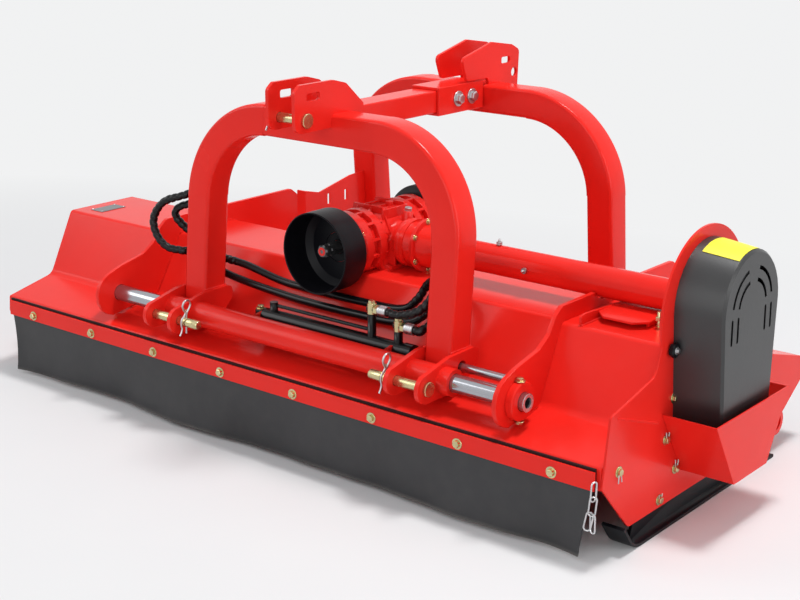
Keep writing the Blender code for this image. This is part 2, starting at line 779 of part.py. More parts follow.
def build_sleeve(name, with_rod):
    y = BAR_Y
    tube = rod("tube", "X", at(y, BAR_Z), SLEEVE_X0, SLEEVE_X1, SLEEVE_R, None, 20)
    pieces = [tube]
    for leg in LEG_X:
        for side in (-1, 1):
            a = leg + side * (LEG_W / 2 + GAP)
            a, b = sorted((a, a + side * EAR_T))
            pin = ring_points(PIN_Y, PIN_Z, PIN_R + RUN, 14)
            pieces.append(plate("ear", ear_outline(), "X", a, b, None, [pin]))
    if with_rod:
        for x, reach in ((CYL_X0 - GAP - 0.008, 0.020), (CYL_X1 - 0.060, -0.004)):
            lug = [(BAR_Y + 0.01, BAR_Z - 0.02), (BAR_Y + 0.01, BAR_Z + 0.022), (CYL_Y + reach, CYL_Z + 0.018)]
            lug += [(CYL_Y + reach, CYL_Z - 0.018)]
            pieces.append(plate("lug", lug, "X", x, x + 0.008))
    sleeve = fuse(name, pieces, RED)
    cutters = [rod("bore", "X", at(y, BAR_Z), SLEEVE_X0 - 0.1, SLEEVE_X1 + 0.1, BAR_R + RUN, None, 20)]
    if with_rod:
        cutters.append(
            rod("rod_hole", "X", at(CYL_Y, CYL_Z), LEG_X[1] - 0.1, LEG_X[1] + 0.1, CYL_ROD_R + 0.006, None, 16)
        )
        cutters.append(
            rod("saddle", "X", at(CYL_Y, CYL_Z), CYL_X1 - 0.07, CYL_X1 - 0.02, CYL_R + GAP, None, 24)
        )
    return cut(sleeve, cutters)


SLEEVE_F = build_sleeve("sleeve_front", True)
sleeve_half = build_sleeve("sleeve_half", False)
mirrored(sleeve_half, "sleeve_rear")
bpy.data.objects.remove(sleeve_half, do_unlink=True)

BEAM_Z1 = ARCH_TOP_Z + 0.006
BEAM_Y0 = leg_y(BEAM_Z1) + LEG_D / 2 + GAP
BEAM_Y1 = 2 * MID_Y - BEAM_Y0
box("top_beam", LINK_X - BEAM_W / 2, LINK_X + BEAM_W / 2, BEAM_Y0, BEAM_Y1, BEAM_Z1 - BEAM_H, BEAM_Z1, RED)
CLAMP_Y1 = BEAM_Y1 - 0.001


def clamp_box(name, half_x, grow, y0, y1):
    x0, x1 = LINK_X - half_x, LINK_X + half_x
    return box(name, x0, x1, y0, y1, BEAM_Z1 - BEAM_H - grow, BEAM_Z1 + grow)


def build_clamp():
    body = clamp_box("clamp_sleeve", BEAM_W / 2 + CLAMP_WALL, CLAMP_WALL, CLAMP_Y1 - CLAMP_L, CLAMP_Y1)
    x = LINK_X + BEAM_W / 2 + CLAMP_WALL
    y_bolts = (CLAMP_Y1 - 0.052, CLAMP_Y1 - 0.114)
    z = BEAM_Z1 - BEAM_H / 2
    heads = [hexagon("head", "X", at(y, z), x - 0.002, x + 0.012, 0.013) for y in y_bolts]
    back = LINK_X - BEAM_W / 2 - CLAMP_WALL
    heads += [hexagon("nut", "X", at(y, z), back - 0.011, back + 0.002, 0.013) for y in y_bolts]
    body = fuse("clamp_sleeve", [body, *heads], RED)
    inner = clamp_box("inner", BEAM_W / 2 + GAP, GAP, CLAMP_Y1 - CLAMP_L - 0.1, CLAMP_Y1 + 0.1)
    return cut(body, [inner])


build_clamp()


def build_pin(name, x0, x1, y, z, head_right):
    """A hitch pin with its head at one end and a spring clip through the other."""
    if head_right:
        pieces = [rod("pin", "X", at(y, z), x0, x1 + 0.003, PIN_R, None, 14, 0.002)]
        pieces.append(rod("head", "X", at(y, z), x1, x1 + 0.007, PIN_R + 0.006, None, 14, 0.001))
        clip_x = x0 + 0.010
    else:
        pieces = [rod("pin", "X", at(y, z), x0 - 0.003, x1, PIN_R, None, 14, 0.002)]
        pieces.append(rod("head", "X", at(y, z), x0 - 0.007, x0, PIN_R + 0.006, None, 14, 0.001))
        clip_x = x1 - 0.010
    pieces.append(rod("clip", "Z", at(y, z, clip_x), -0.024, 0.034, 0.0022, None, 8))
    return fuse(name, pieces, ZINC)


ear_far = LEG_W / 2 + GAP + EAR_T
left, right = LEG_X
pin_l = build_pin("lower_pin_left", left - ear_far - GAP, left + ear_far + 0.034, PIN_Y, PIN_Z, False)
pin_r = build_pin("lower_pin_right", right - ear_far - 0.030, right + ear_far + GAP, PIN_Y, PIN_Z, True)
set_origin(pin_l, (left, PIN_Y, PIN_Z))
set_origin(pin_r, (right, PIN_Y, PIN_Z))
top_x0, top_x1 = TOP_EARS[0] - TOP_EAR_T / 2, TOP_EARS[1] + TOP_EAR_T / 2
pin_t = build_pin("top_pin", top_x0 - 0.026, top_x1 + GAP, 0.050, TOP_PIN_Z, True)
set_origin(pin_t, (LINK_X, 0.050, TOP_PIN_Z))


def build_guide():
    """The slotted plate that reaches forward from the rear arch's left leg."""
    x = LEG_X[0]

    def leg_face(z):
        return 2 * MID_Y - leg_y(z) - LEG_D / 2 - GAP

    z0, z1 = MID_TOP_Z + GUIDE_RISE, MID_TOP_Z + GUIDE_RISE + 0.108
    y = leg_face(z0) - GUIDE_REACH
    outline = [(y, z0), (y, z0 + 0.088), (y + 0.055, z0 + 0.075), (y + 0.190, z1 - 0.004)]
    outline += [(leg_face(z1), z1), (leg_face(z0), z0)]
    slots = [
        rounded_loop([(a, z0 + 0.033), (a, z0 + 0.065), (a + 0.011, z0 + 0.065), (a + 0.011, z0 + 0.033)], [0.005] * 4, 2)
        for a in (y + 0.090, y + 0.165)
    ]
    web = plate("guide_plate", outline, "X", x - 0.003, x + 0.003, None, slots)
    lip = plate("lip", [(y - 0.006, z0), (y - 0.006, z0 + 0.088), (y, z0 + 0.088), (y, z0)], "X", x - 0.030, x + 0.003)
    return fuse("guide_plate", [web, lip], RED)


build_guide()

# Side shift cylinder


def build_barrel():
    c = at(CYL_Y, CYL_Z)
    bore = CYL_R - CYL_WALL
    head = CYL_X1 - 0.028
    profile = [
        (CYL_X0 + 0.018, 0.0),
        (CYL_X0, 0.0),
        (CYL_X0, CYL_R),
        (head, CYL_R),
        (head, CYL_R + 0.002),
        (CYL_X1, CYL_R + 0.002),
        (CYL_X1, CYL_ROD_R + RUN),
        (head + 0.002, CYL_ROD_R + RUN),
        (head + 0.002, bore),
        (CYL_X0 + 0.018, bore),
    ]
    rows = profile[1:] + [profile[0]]
    barrel = turned("cylinder_barrel", rows, "X", c, None, 24)
    pieces = [barrel]
    top = CYL_Z + CYL_R
    for x, rise in zip(PORTS, PORT_RISE):
        pieces.append(rod("post", "Z", at(CYL_Y, 0, x), top - 0.003, top + rise - 0.006, 0.011, None, 10))
        pieces.append(rod("elbow", "X", at(CYL_Y, top + rise), x - 0.011, x + 0.030, 0.0095, None, 10))
        pieces.append(rod("ferrule", "X", at(CYL_Y, top + rise), x + 0.026, x + FERRULE, HOSE_R + 0.001, None, 12))
    pieces.append(rod("post", "Z", at(CYL_Y, 0, CYL_X0 + 0.030), top - 0.003, top + 0.022, 0.011, None, 12))
    pieces.append(rod("pipe", "X", at(CYL_Y + 0.004, top + 0.012), CYL_X0 + 0.030, PORTS[0], 0.005, None, 8))
    return fuse("cylinder_barrel", pieces, DARK)


PORTS = (0.268, 0.352)
FERRULE = 0.050
PORT_RISE = (0.068, 0.040)
build_barrel()
rod_end = BRACKET_RIGHT_X - GAP
rod_profile = [
    (PISTON_X - 0.012, 0.0),
    (PISTON_X - 0.012, CYL_R - CYL_WALL - RUN),
    (PISTON_X + 0.012, CYL_R - CYL_WALL - RUN),
    (PISTON_X + 0.012, CYL_ROD_R),
    (rod_end, CYL_ROD_R),
    (rod_end, 0.0),
]
turned("cylinder_rod", rod_profile, "X", at(CYL_Y, CYL_Z), CHROME, 20)

hose_za = CYL_Z + CYL_R + PORT_RISE[0]
hose_zb = CYL_Z + CYL_R + PORT_RISE[1]
hose_y = CYL_Y
HOSE_END_Z = 0.660
HOSE_A = [
    (PORTS[0] + FERRULE + 0.001, hose_y, hose_za),
    (PORTS[0] + FERRULE + 0.036, hose_y, hose_za),
    (0.404, 0.146, 0.420),
    (0.418, 0.185, 0.458),
    (0.388, 0.222, 0.474),
    (0.345, 0.246, 0.448),
    (0.315, 0.244, 0.405),
    (0.270, 0.238, 0.376),
    (0.150, 0.238, 0.370),
    (-0.020, 0.238, 0.370),
    (-0.140, 0.238, 0.374),
    (-0.260, 0.226, 0.400),
    (-0.340, 0.207, 0.415),
    (-0.395, 0.200, 0.445),
    (-0.440, 0.180, 0.480),
    (-0.468, 0.165, 0.515),
    (-0.455, 0.165, 0.542),
    (-0.410, 0.186, 0.560),
    (-0.364, 0.216, 0.582),
    (-0.350, 0.228, 0.612),
    (-0.350, 0.228, HOSE_END_Z),
]
HOSE_B = [
    (PORTS[1] + FERRULE + 0.001, hose_y, hose_zb),
    (PORTS[1] + FERRULE + 0.016, hose_y + 0.002, hose_zb),
    (0.433, 0.168, 0.396),
    (0.436, 0.214, 0.436),
    (0.404, 0.252, 0.456),
    (0.366, 0.276, 0.448),
    (0.345, 0.225, 0.372),
    (0.280, 0.208, 0.350),
    (0.150, 0.206, 0.346),
    (-0.020, 0.206, 0.346),
    (-0.140, 0.206, 0.352),
    (-0.260, 0.207, 0.362),
    (-0.330, 0.208, 0.372),
    (-0.365, 0.205, 0.388),
    (-0.398, 0.178, 0.420),
    (-0.430, 0.146, 0.428),
    (-0.468, 0.128, 0.436),
    (-0.502, 0.122, 0.468),
    (-0.512, 0.124, 0.512),
    (-0.482, 0.134, 0.558),
    (-0.430, 0.160, 0.580),
    (-0.396, 0.206, 0.596),
    (-0.385, 0.228, 0.620),
    (-0.385, 0.228, HOSE_END_Z),
]
hose("hose_a", HOSE_A, HOSE_R, HOSE)
hose("hose_b", HOSE_B, HOSE_R, HOSE)


def build_holder():
    """A small shelf on the back of the left leg with the two hose couplings in it."""
    z = HOSE_END_Z + 0.012
    y0 = leg_y(z + 0.006) + LEG_D / 2 + GAP
    pieces = [box("shelf", -0.404, -0.322, y0, 0.246, z, z + 0.006)]
    for end in (HOSE_A[-1], HOSE_B[-1]):
        c = at(end[1], 0, end[0])
        profile = [(HOSE_END_Z + 0.001, 0.0), (HOSE_END_Z + 0.001, 0.013), (z + 0.018, 0.013), (z + 0.020, 0.015)]
        profile += [(z + 0.038, 0.015), (z + 0.040, 0.010), (z + 0.054, 0.010), (z + 0.054, 0.0)]
        pieces.append(turned("coupling", profile, "Z", c, None, 14))
    return fuse("hose_holder", pieces, STEEL)


build_holder()

# Gearbox, guards and shafts

GEAR_DECK_Z = MID_TOP_Z + GAP
BOSS_X = 0.160
HOUSING_X = 0.262
GEAR_FACE = 0.159


def build_gearbox():
    c = at(DRIVE_Y, DRIVE_Z, GEAR_X)
    # A bearing cover, a groove and a ring behind it on each side, mirrored about the shaft's middle.
    steps = [(GEAR_FACE, 0.066), (0.146, 0.066), (0.146, GEAR_R), (0.118, GEAR_R), (0.118, 0.074)]
    steps += [(0.092, 0.074), (0.092, GEAR_R), (0.066, GEAR_R), (0.066, 0.070)]
    profile = [(-GEAR_FACE, 0.0)] + [(-y, r) for y, r in steps] + [(y, r) for y, r in reversed(steps)]
    pieces = [turned("covers", [*profile, (GEAR_FACE, 0.0)], "Y", c, None, 20)]
    half_x, half_y = 0.078, 0.074
    levels = [(GEAR_DECK_Z - 0.02, 1.0), (DRIVE_Z + 0.030, 1.0), (DRIVE_Z + 0.070, 0.72), (DRIVE_Z + 0.082, 0.45)]
    rows = []
    for z, share in levels:
        x, y = half_x * share, half_y * share
        rows.append([Vector((GEAR_X + a * x, DRIVE_Y + b * y, z)) for a, b in ((1, 1), (-1, 1), (-1, -1), (1, -1))])
    pieces.append(loft("case", rows))
    out = [(0.0, 0.0), (0.0, 0.060), (BOSS_X - GEAR_X - 0.030, 0.0523), (BOSS_X - GEAR_X - 0.012, 0.056)]
    out += [(BOSS_X - GEAR_X - 0.012, 0.064), (BOSS_X - GEAR_X, 0.064), (BOSS_X - GEAR_X, 0.0)]
    pieces.append(turned("boss", out, "X", c, None, 24))
    pieces.append(rod("blank", "X", c, -0.098, 0.001, 0.0537, None, 20, 0.004))
    for side in (-1, 1):
        fin = [(DRIVE_Z, GEAR_X + 0.098), (DRIVE_Z + 0.074, GEAR_X + 0.030), (DRIVE_Z + 0.074, GEAR_X - 0.030)]
        fin += [(DRIVE_Z, GEAR_X - 0.088), (DRIVE_Z - 0.060, GEAR_X - 0.088), (DRIVE_Z - 0.060, GEAR_X + 0.098)]
        y = DRIVE_Y + side * 0.046
        pieces.append(plate("fin", fin, "Y", y - 0.004, y + 0.004))
    pieces.append(hexagon("breather", "Z", at(DRIVE_Y + 0.02, 0, GEAR_X + 0.022), DRIVE_Z + 0.06, DRIVE_Z + 0.094, 0.011))
    foot = [(GEAR_X - 0.100, DRIVE_Y - 0.066), (GEAR_X + 0.100, DRIVE_Y - 0.066)]
    foot += [(GEAR_X + 0.100, DRIVE_Y + 0.066), (GEAR_X - 0.100, DRIVE_Y + 0.066)]
    pieces.append(plate("foot", foot, "Z", GEAR_DECK_Z - 0.005, GEAR_DECK_Z + 0.012))
    gearbox = fuse("gearbox", pieces, RED)
    cutters = [
        box("floor", -1, 1, 0, 1, 0.1, GEAR_DECK_Z),
        rod("pto_bore", "Y", c, -0.3, 0.3, PTO_R + RUN, None, 24),
        rod("drive_bore", "X", c, PTO_R + 0.016, 0.3, SHAFT_R + RUN, None, 24),
    ]
    return cut(gearbox, cutters)


build_gearbox()


def build_guard():
    """The cup round the drive shaft's end, bolted by its floor to the bearing cover."""
    y1 = DRIVE_Y - GEAR_FACE - GAP
    y0 = GUARD_Y
    t = GUARD_T
    profile = [
        (y0, GUARD_R),
        (y1 - 0.016, GUARD_R),
        (y1, GUARD_R - 0.020),
        (y1, PTO_R + 0.022),
        (y1 - t, PTO_R + 0.022),
        (y1 - t, GUARD_R - 0.022),
        (y1 - 0.018, GUARD_R - t),
        (y0, GUARD_R - t),
    ]
    return turned("pto_guard_front", profile, "Y", Vector((GEAR_X, 0, DRIVE_Z)), PLASTIC, 28)


guard = build_guard()
mirrored(guard, "pto_guard_rear", DRIVE_Y)


def build_pto_shaft():
    """A through shaft with six splines at each end."""
    half = DRIVE_Y - GUARD_Y - 0.030
    rows = []
    stations = [(-half, True), (-half + 0.080, True), (-half + 0.084, False), (half - 0.084, False)]
    stations += [(half - 0.080, True), (half, True)]
    for y, splined in stations:
        row = []
        for i in range(24):
            t = math.tau * i / 24
            r = PTO_R - (0.003 if splined and i % 4 >= 2 else 0.0)
            row.append(Vector((GEAR_X + r * math.cos(t), DRIVE_Y + y, DRIVE_Z + r * math.sin(t))))
        rows.append(row)
    shaft = loft("pto_shaft", rows, STEEL)
    return set_origin(shaft, (GEAR_X, DRIVE_Y, DRIVE_Z))


build_pto_shaft()

PULLEY_X0 = OUTER_X + 0.012
TUBE_X1 = SIDE_X - GAP
tube_profile = [
    (BOSS_X + GAP, SHAFT_R + 0.010),
    (BOSS_X + GAP, 0.064),
    (BOSS_X + 0.014, 0.064),
    (BOSS_X + 0.014, 0.058),
    (HOUSING_X - 0.020, 0.056),
    (HOUSING_X, TUBE_R),
    (TUBE_X1 - 0.012, TUBE_R),
    (TUBE_X1 - 0.012, TUBE_R + 0.016),
    (TUBE_X1, TUBE_R + 0.016),
    (TUBE_X1, SIDE_HOLE),
    (TUBE_X1 - 0.016, SIDE_HOLE),
    (TUBE_X1 - 0.016, SHAFT_R + 0.010),
]
tube = turned("drive_tube", tube_profile, "X", at(DRIVE_Y, DRIVE_Z), None, 20)
nipples = [rod("nipple", "Y", at(0, DRIVE_Z, 0.545), DRIVE_Y - TUBE_R - 0.006, DRIVE_Y - TUBE_R + 0.004, 0.007, None, 8)]
nipples.append(rod("nipple", "Z", at(DRIVE_Y, 0, 0.439), DRIVE_Z + TUBE_R - 0.004, DRIVE_Z + TUBE_R + 0.006, 0.007, None, 8))
fuse("drive_tube", [tube, *nipples], RED)

SHAFT_X0 = GEAR_X + PTO_R + 0.018
SHAFT_X1 = PULLEY_X0 + PULLEY_W + 0.006
shaft = rod("drive_shaft", "X", at(DRIVE_Y, DRIVE_Z), SHAFT_X0, SHAFT_X1, SHAFT_R, STEEL, 20, 0.002)
set_origin(shaft, (GEAR_X, DRIVE_Y, DRIVE_Z))


def pulley(name, z, radius, bore):
    """A belt pulley with a V groove for each belt."""
    rows = [(PULLEY_X0, bore), (PULLEY_X0, radius)]
    pitch = (PULLEY_W - 0.008) / BELTS
    for i in range(BELTS):
        x = PULLEY_X0 + 0.004 + pitch * i
        rows += [(x, radius), (x + pitch / 2, radius - 0.009)]
    rows.append((PULLEY_X0 + PULLEY_W - 0.004, radius))
    rows += [(PULLEY_X0 + PULLEY_W, radius), (PULLEY_X0 + PULLEY_W, bore)]
    wheel = turned(name, rows, "X", at(DRIVE_Y, z), CAST, 24)
    return set_origin(wheel, (PULLEY_X0, DRIVE_Y, z))


pulley("upper_pulley", DRIVE_Z, UPPER_PULLEY_R, SHAFT_R + GAP)
pulley("lower_pulley", ROTOR_Z, LOWER_PULLEY_R, 0.025 + GAP)


def build_belts():
    """The banded belt round both pulleys: two arcs joined by two straight runs."""
    gap = DRIVE_Z - ROTOR_Z
    lean = math.asin((UPPER_PULLEY_R - LOWER_PULLEY_R) / gap)
    x0, x1 = PULLEY_X0 + 0.004, PULLEY_X0 + PULLEY_W - 0.004
    inner = 0.0008
    thick = 0.007

    def loop(grow):
        top = ring_points(DRIVE_Y, DRIVE_Z, UPPER_PULLEY_R + grow, 19, -lean, math.pi + 2 * lean)
        low = ring_points(DRIVE_Y, ROTOR_Z, LOWER_PULLEY_R + grow, 15, math.pi + lean, math.pi - 2 * lean)
        return top + low

    return plate("belts", loop(inner + thick), "X", x0, x1, RUBBER, [loop(inner)])


build_belts()

# Belt cover and tray

COVER_X0 = OUTER_X + GAP
COVER_ARC_Z = DRIVE_Z + 0.008
COVER_BEVEL = 0.006
SLOT_W = 0.009
SLOT_RADII = (0.066, 0.094)
SLOT_ARCS = ((106, 169), (11, 74))
SLOT_Z = (COVER_ARC_Z - 0.062, COVER_ARC_Z - 0.010)


def cover_outline(half, z0):
    """An arch in Y and Z: a half circle over two sides that taper towards the open bottom."""
    arc = ring_points(DRIVE_Y, COVER_ARC_Z, half, 19, 0.0, math.pi)
    low = half - COVER_TAPER
    return [*arc, (DRIVE_Y - low, z0), (DRIVE_Y + low, z0)]


def bar_outline(y, z0, z1):
    """A slot's rounded outline, upright at this Y."""
    r = SLOT_W / 2
    top = ring_points(y, z1, r, 5, 0.0, math.pi)
    return top + ring_points(y, z0, r, 5, math.pi, math.pi)


def arc_outline(radius, start, end):
    a, b = math.radians(start), math.radians(end)
    outer = ring_points(DRIVE_Y, COVER_ARC_Z, radius + SLOT_W / 2, 7, a, b - a)
    return outer + ring_points(DRIVE_Y, COVER_ARC_Z, radius - SLOT_W / 2, 7, b, a - b)


def build_cover():
    x1 = COVER_X0 + COVER_DEPTH
    end = COVER_R - COVER_DRAFT

    def dish(grow, z0, levels):
        return [[Vector((x, y, z)) for y, z in cover_outline(half + grow, z0)] for x, half in levels]

    levels = [(COVER_X0, COVER_R), (x1 - COVER_BEVEL, end), (x1, end - COVER_BEVEL)]
    cover = loft("belt_cover", dish(0.0, COVER_Z0, levels))
    inner = [(COVER_X0 - 0.01, COVER_R), (x1 - COVER_BEVEL, end), (x1 - COVER_T, end - COVER_BEVEL + COVER_T)]
    cutters = [loft("inside", dish(-COVER_T, COVER_Z0 - 0.02, inner))]
    for radius in SLOT_RADII:
        for start, stop in SLOT_ARCS:
            cutters.append(plate("slot", arc_outline(radius, start, stop), "X", x1 - 0.012, x1 + 0.01))
        for side in (-1, 1):
            cutters.append(plate("slot", bar_outline(DRIVE_Y + side * radius, *SLOT_Z), "X", x1 - 0.012, x1 + 0.01))
    cover = cut(cover, cutters)
    cover.data.materials.clear()
    cover.data.materials.append(DARK)
    return cover


build_cover()


def build_tray():
    """The bent guard under the lower pulley: open on top and towards the side plate."""
    x0, x1 = COVER_X0, COVER_X0 + TRAY_DEPTH
    t = TRAY_T

    def outline(inset, rise, lift=0.0):
        slope = (TRAY_TOP - TRAY_BOTTOM) / 2 / (TRAY_Z1 - TRAY_Z0)
        low, high = TRAY_BOTTOM / 2, TRAY_TOP / 2
        wall = inset * math.hypot(1, slope)
        foot = low + slope * rise - wall
        head = high + slope * lift - wall
        z0, z1 = TRAY_Z0 + rise, TRAY_Z1 + lift
        mid = DRIVE_Y - 0.001
        return [(mid - foot, z0), (mid + foot, z0), (mid + head, z1), (mid - head, z1)]

    body = plate("tray", outline(0.0, 0.0), "X", x0, x1)
    hollow = plate("hollow", outline(t, t, 0.02), "X", x0 - 0.02, x1 - t)
    heads = [hexagon("head", "X", at(DRIVE_Y - 0.001 + y, z), x1 - 0.002, x1 + 0.007, 0.008) for y, z in TRAY_BOLTS]
    tray = cut(body, [hollow])
    return fuse("tray", [tray, *heads], RED)


TRAY_BOLTS = ((-0.120, 0.245), (0.120, 0.245))
build_tray()


def build_tension_bracket():
    """The belt tension stop: an upright and a shelf under the drive tube."""
    deck = BOX_TOP_Z + GAP
    shelf = DRIVE_Z - TUBE_R - 0.0015
    corner = 0.030
    front, back = 0.290, 0.436
    x = SHELL_HALF - TENSION_INSET
    far = x + 0.136
    outline = [(x, front + corner), (x + corner, front), (far - corner, front), (far, front + corner)]
    outline += [(far, back), (x, back)]
    pieces = [plate("shelf", outline, "Z", shelf - 0.006, shelf)]
    pieces.append(box("upright", x - 0.004, x + 0.004, 0.244, 0.376, deck, 0.497))
    pieces.append(box("web", x + 0.121, x + 0.128, 0.330, 0.420, deck, shelf - 0.003))
    pieces.append(box("web", x - 0.004, x + 0.004, 0.244, back, deck, shelf - 0.003))
    pieces.append(rod("stud", "X", at(0.300, 0.474), x + 0.002, x + 0.192, 0.006, None, 8))
    pieces.append(hexagon("nut", "X", at(0.300, 0.474), x + 0.002, x + 0.012, 0.011))
    pieces.append(hexagon("nut", "X", at(0.300, 0.474), x + 0.178, x + 0.190, 0.011))
    return fuse("tension_bracket", pieces, RED)


build_tension_bracket()

# Rotor and hammers

STATION_END = SHELL_HALF - HAMMER_INSET
STATION_X = [STATION_END * (2 * i / (HAMMERS - 1) - 1) for i in range(HAMMERS)]
ROW_ANGLES = (0.0, math.radians(120), math.radians(-120))
LUG_X = HUB_W / 2 + RUN
HUB_R = 0.019
JOURNAL_R = 0.025


def pivot_of(i):
    """The pin's place for one hammer, its angle measured from straight down towards +Y."""
    t = ROW_ANGLES[i % 3]
    return (STATION_X[i], DRIVE_Y + PIVOT_R * math.sin(t), ROTOR_Z - PIVOT_R * math.cos(t))


def lug_outline(t):
    """A lug from inside the tube out to its rounded end."""
    half = 0.0155
    local = [(-half, 0.044)] + [
        (half * math.cos(a), PIVOT_R + half * math.sin(a)) for a in (math.pi * (1 - k / 4) for k in range(5))
    ]
    local.append((half, 0.044))
    return [
        (DRIVE_Y + a * math.cos(t) + r * math.sin(t), ROTOR_Z + a * math.sin(t) - r * math.cos(t)) for a, r in local
    ]


def build_rotor():
    c = at(DRIVE_Y, ROTOR_Z)
    end = ROTOR_HALF - 0.030
    half_len = [
        (-OUTER_X - ROTOR_STUB, 0.0),
        (-OUTER_X - ROTOR_STUB, JOURNAL_R),
        (-end - 0.010, JOURNAL_R),
        (-end - 0.010, 0.075),
        (-end, 0.075),
        (-end, ROTOR_R),
        (end, ROTOR_R),
        (end, 0.075),
        (end + 0.010, 0.075),
        (end + 0.010, JOURNAL_R),
        (PULLEY_X0 + PULLEY_W + 0.006, JOURNAL_R),
        (PULLEY_X0 + PULLEY_W + 0.006, 0.0),
    ]
    pieces = [turned("rotor", half_len, "X", c, None, 24)]
    for i in range(HAMMERS):
        x, y, z = pivot_of(i)
        t = ROW_ANGLES[i % 3]
        for side in (-1, 1):
            a, b = sorted((x + side * LUG_X, x + side * (LUG_X + LUG_T)))
            pieces.append(plate("lug", lug_outline(t), "X", a, b))
        reach = LUG_X + LUG_T
        pieces.append(rod("pin", "X", at(y, z), x - reach - 0.006, x + reach + 0.006, HAMMER_PIN_R, None, 8))
        pieces.append(hexagon("head", "X", at(y, z), x + reach - 0.001, x + reach + 0.007, 0.0125))
        pieces.append(hexagon("nut", "X", at(y, z), x - reach - 0.009, x - reach + 0.001, 0.0125))
    rotor = fuse("rotor", pieces, CAST)
    return set_origin(rotor, (0, DRIVE_Y, ROTOR_Z))


build_rotor()


def build_hammer(name, point):
    """A forged hammer hanging from its hub, wide and thick at the striking edge."""
    x, y, z = point
    hub = rod("hub", "X", at(y, z), x - HUB_W / 2, x + HUB_W / 2, HUB_R, None, 12)
    rows = []
    levels = [(-0.004, 0.0125, 0.017), (-0.030, 0.011, 0.017), (-0.044, 0.013, 0.044)]
    levels += [(-0.076, 0.016, HAMMER_W / 2), (-HAMMER_LEN, 0.009, HAMMER_W / 2)]
    for drop, thick, half in levels:
        rows.append([Vector((x + a * half, y + b * thick, z + drop)) for a, b in ((1, 1), (-1, 1), (-1, -1), (1, -1))])
    hammer = fuse(name, [hub, loft("body", rows)], CAST)
    bore = rod("bore", "X", at(y, z), x - HUB_W, x + HUB_W, HAMMER_PIN_R + RUN + 0.0006, None, 10)
    return set_origin(cut(hammer, [bore]), point)


for i in range(HAMMERS):
    build_hammer(f"hammer_{i + 1:02d}", pivot_of(i))

bearing_hole = JOURNAL_R + RUN
pipe("rotor_bearing_left", "X", at(DRIVE_Y, ROTOR_Z), -OUTER_X - GAP - 0.028, -OUTER_X - GAP, 0.055, bearing_hole, RED, 20)
BEARING_X1 = SIDE_X - GAP
pipe(
    "rotor_bearing_right", "X", at(DRIVE_Y, ROTOR_Z), BEARING_X1 - BEARING_L, BEARING_X1, 0.055, bearing_hole, CAST, 20
)


def build_counter_blade():
    """The bar under the front deck that the hammers work against."""
    slope = (APRON_Z + 0.004 - LIP_Z) / MID_RISE_Y
    y0, y1 = 0.135, 0.178

    def under(y):
        return LIP_Z + slope * y - SHEET * math.hypot(1, slope) - GAP

    outline = [(y0, under(y0)), (y1, under(y1)), (y1, under(y1) - 0.020), (y0 + 0.020, under(y1) - 0.020)]
    outline.append((y0, under(y0) - 0.012))
    half = SHELL_HALF - BLADE_INSET
    return plate("counter_blade", outline, "X", -half, half, CAST)


build_counter_blade()

# Roller, arms and skids


def build_roller():
    c = at(ROLLER_Y, ROLLER_R)
    stub = ARM_X[1] - 0.004
    profile = [(-stub, 0.0), (-stub, STUB_R), (-ROLLER_HALF, STUB_R), (-ROLLER_HALF, ROLLER_R - 0.004)]
    profile += [(-ROLLER_HALF + 0.004, ROLLER_R), (ROLLER_HALF - 0.004, ROLLER_R)]
    profile += [(ROLLER_HALF, ROLLER_R - 0.004), (ROLLER_HALF, STUB_R), (stub, STUB_R), (stub, 0.0)]
    roller = turned("roller", profile, "X", c, RED, 30)
    return set_origin(roller, (0, ROLLER_Y, ROLLER_R))


ARM_X = (ROLLER_HALF + ROLLER_END_GAP, SIDE_X - GAP)
STUB_R = 0.020
build_roller()


def build_arm(name, side):
    """The roller's bearing arm, flat against the inside of the side plate."""
    head = ring_points(ROLLER_Y, ROLLER_R, 0.034, 12, math.radians(-150), math.radians(210))
    outline = [*head, (ROLLER_Y - 0.060, 0.205), (ROLLER_Y - 0.150, 0.230), (ROLLER_Y - 0.150, 0.170)]
    a, b = sorted((side * (ARM_X[1] - 0.010), side * ARM_X[1]))
    pieces = [plate("arm", outline, "X", a, b)]
    a, b = sorted((side * ARM_X[0], side * ARM_X[1]))
    pieces.append(rod("boss", "X", at(ROLLER_Y, ROLLER_R), a, b, 0.034, None, 24))
    for y, z in ((ROLLER_Y - 0.076, 0.190), (ROLLER_Y - 0.134, 0.202)):
        a, b = sorted((side * (ARM_X[1] - 0.018), side * (ARM_X[1] - 0.009)))
        pieces.append(hexagon("head", "X", at(y, z), a, b, 0.011))
    arm = fuse(name, pieces, RED)
    return cut(arm, [rod("bore", "X", at(ROLLER_Y, ROLLER_R), -1.2, 1.2, STUB_R + RUN, None, 24)])


build_arm("roller_arm_left", -1)
build_arm("roller_arm_right", 1)


def build_skid(name, side):
    """A runner under the side plate: a flat sole that curves up in front, with a web inside."""
    path = rounded([(0.066, 0.062), (0.112, 0.0), (0.800, 0.0)], [0.060], 6)
    strip = sheet_outline(list(reversed(path)), SKID_T)
    x0, x1 = SKID_X0, SKID_X0 + SKID_W
    a, b = sorted((side * x0, side * x1))
    pieces = [plate("sole", strip, "X", a, b)]
    web = [(0.128, 0.004), (0.740, 0.004), (0.680, 0.118), (0.170, 0.118)]
    a, b = sorted((side * (SIDE_X - GAP - 0.008), side * (SIDE_X - GAP)))
    pieces.append(plate("web", web, "X", a, b))
    for y in (0.215, 0.630):
        a, b = sorted((side * (SIDE_X - 0.016), side * (SIDE_X - 0.008)))
        pieces.append(hexagon("head", "X", at(y, 0.086), a, b, 0.011))
    return fuse(name, pieces, DARK)


SKID_X0 = SIDE_X - SKID_INSET
build_skid("skid_left", -1)
build_skid("skid_right", 1)

# Small fittings

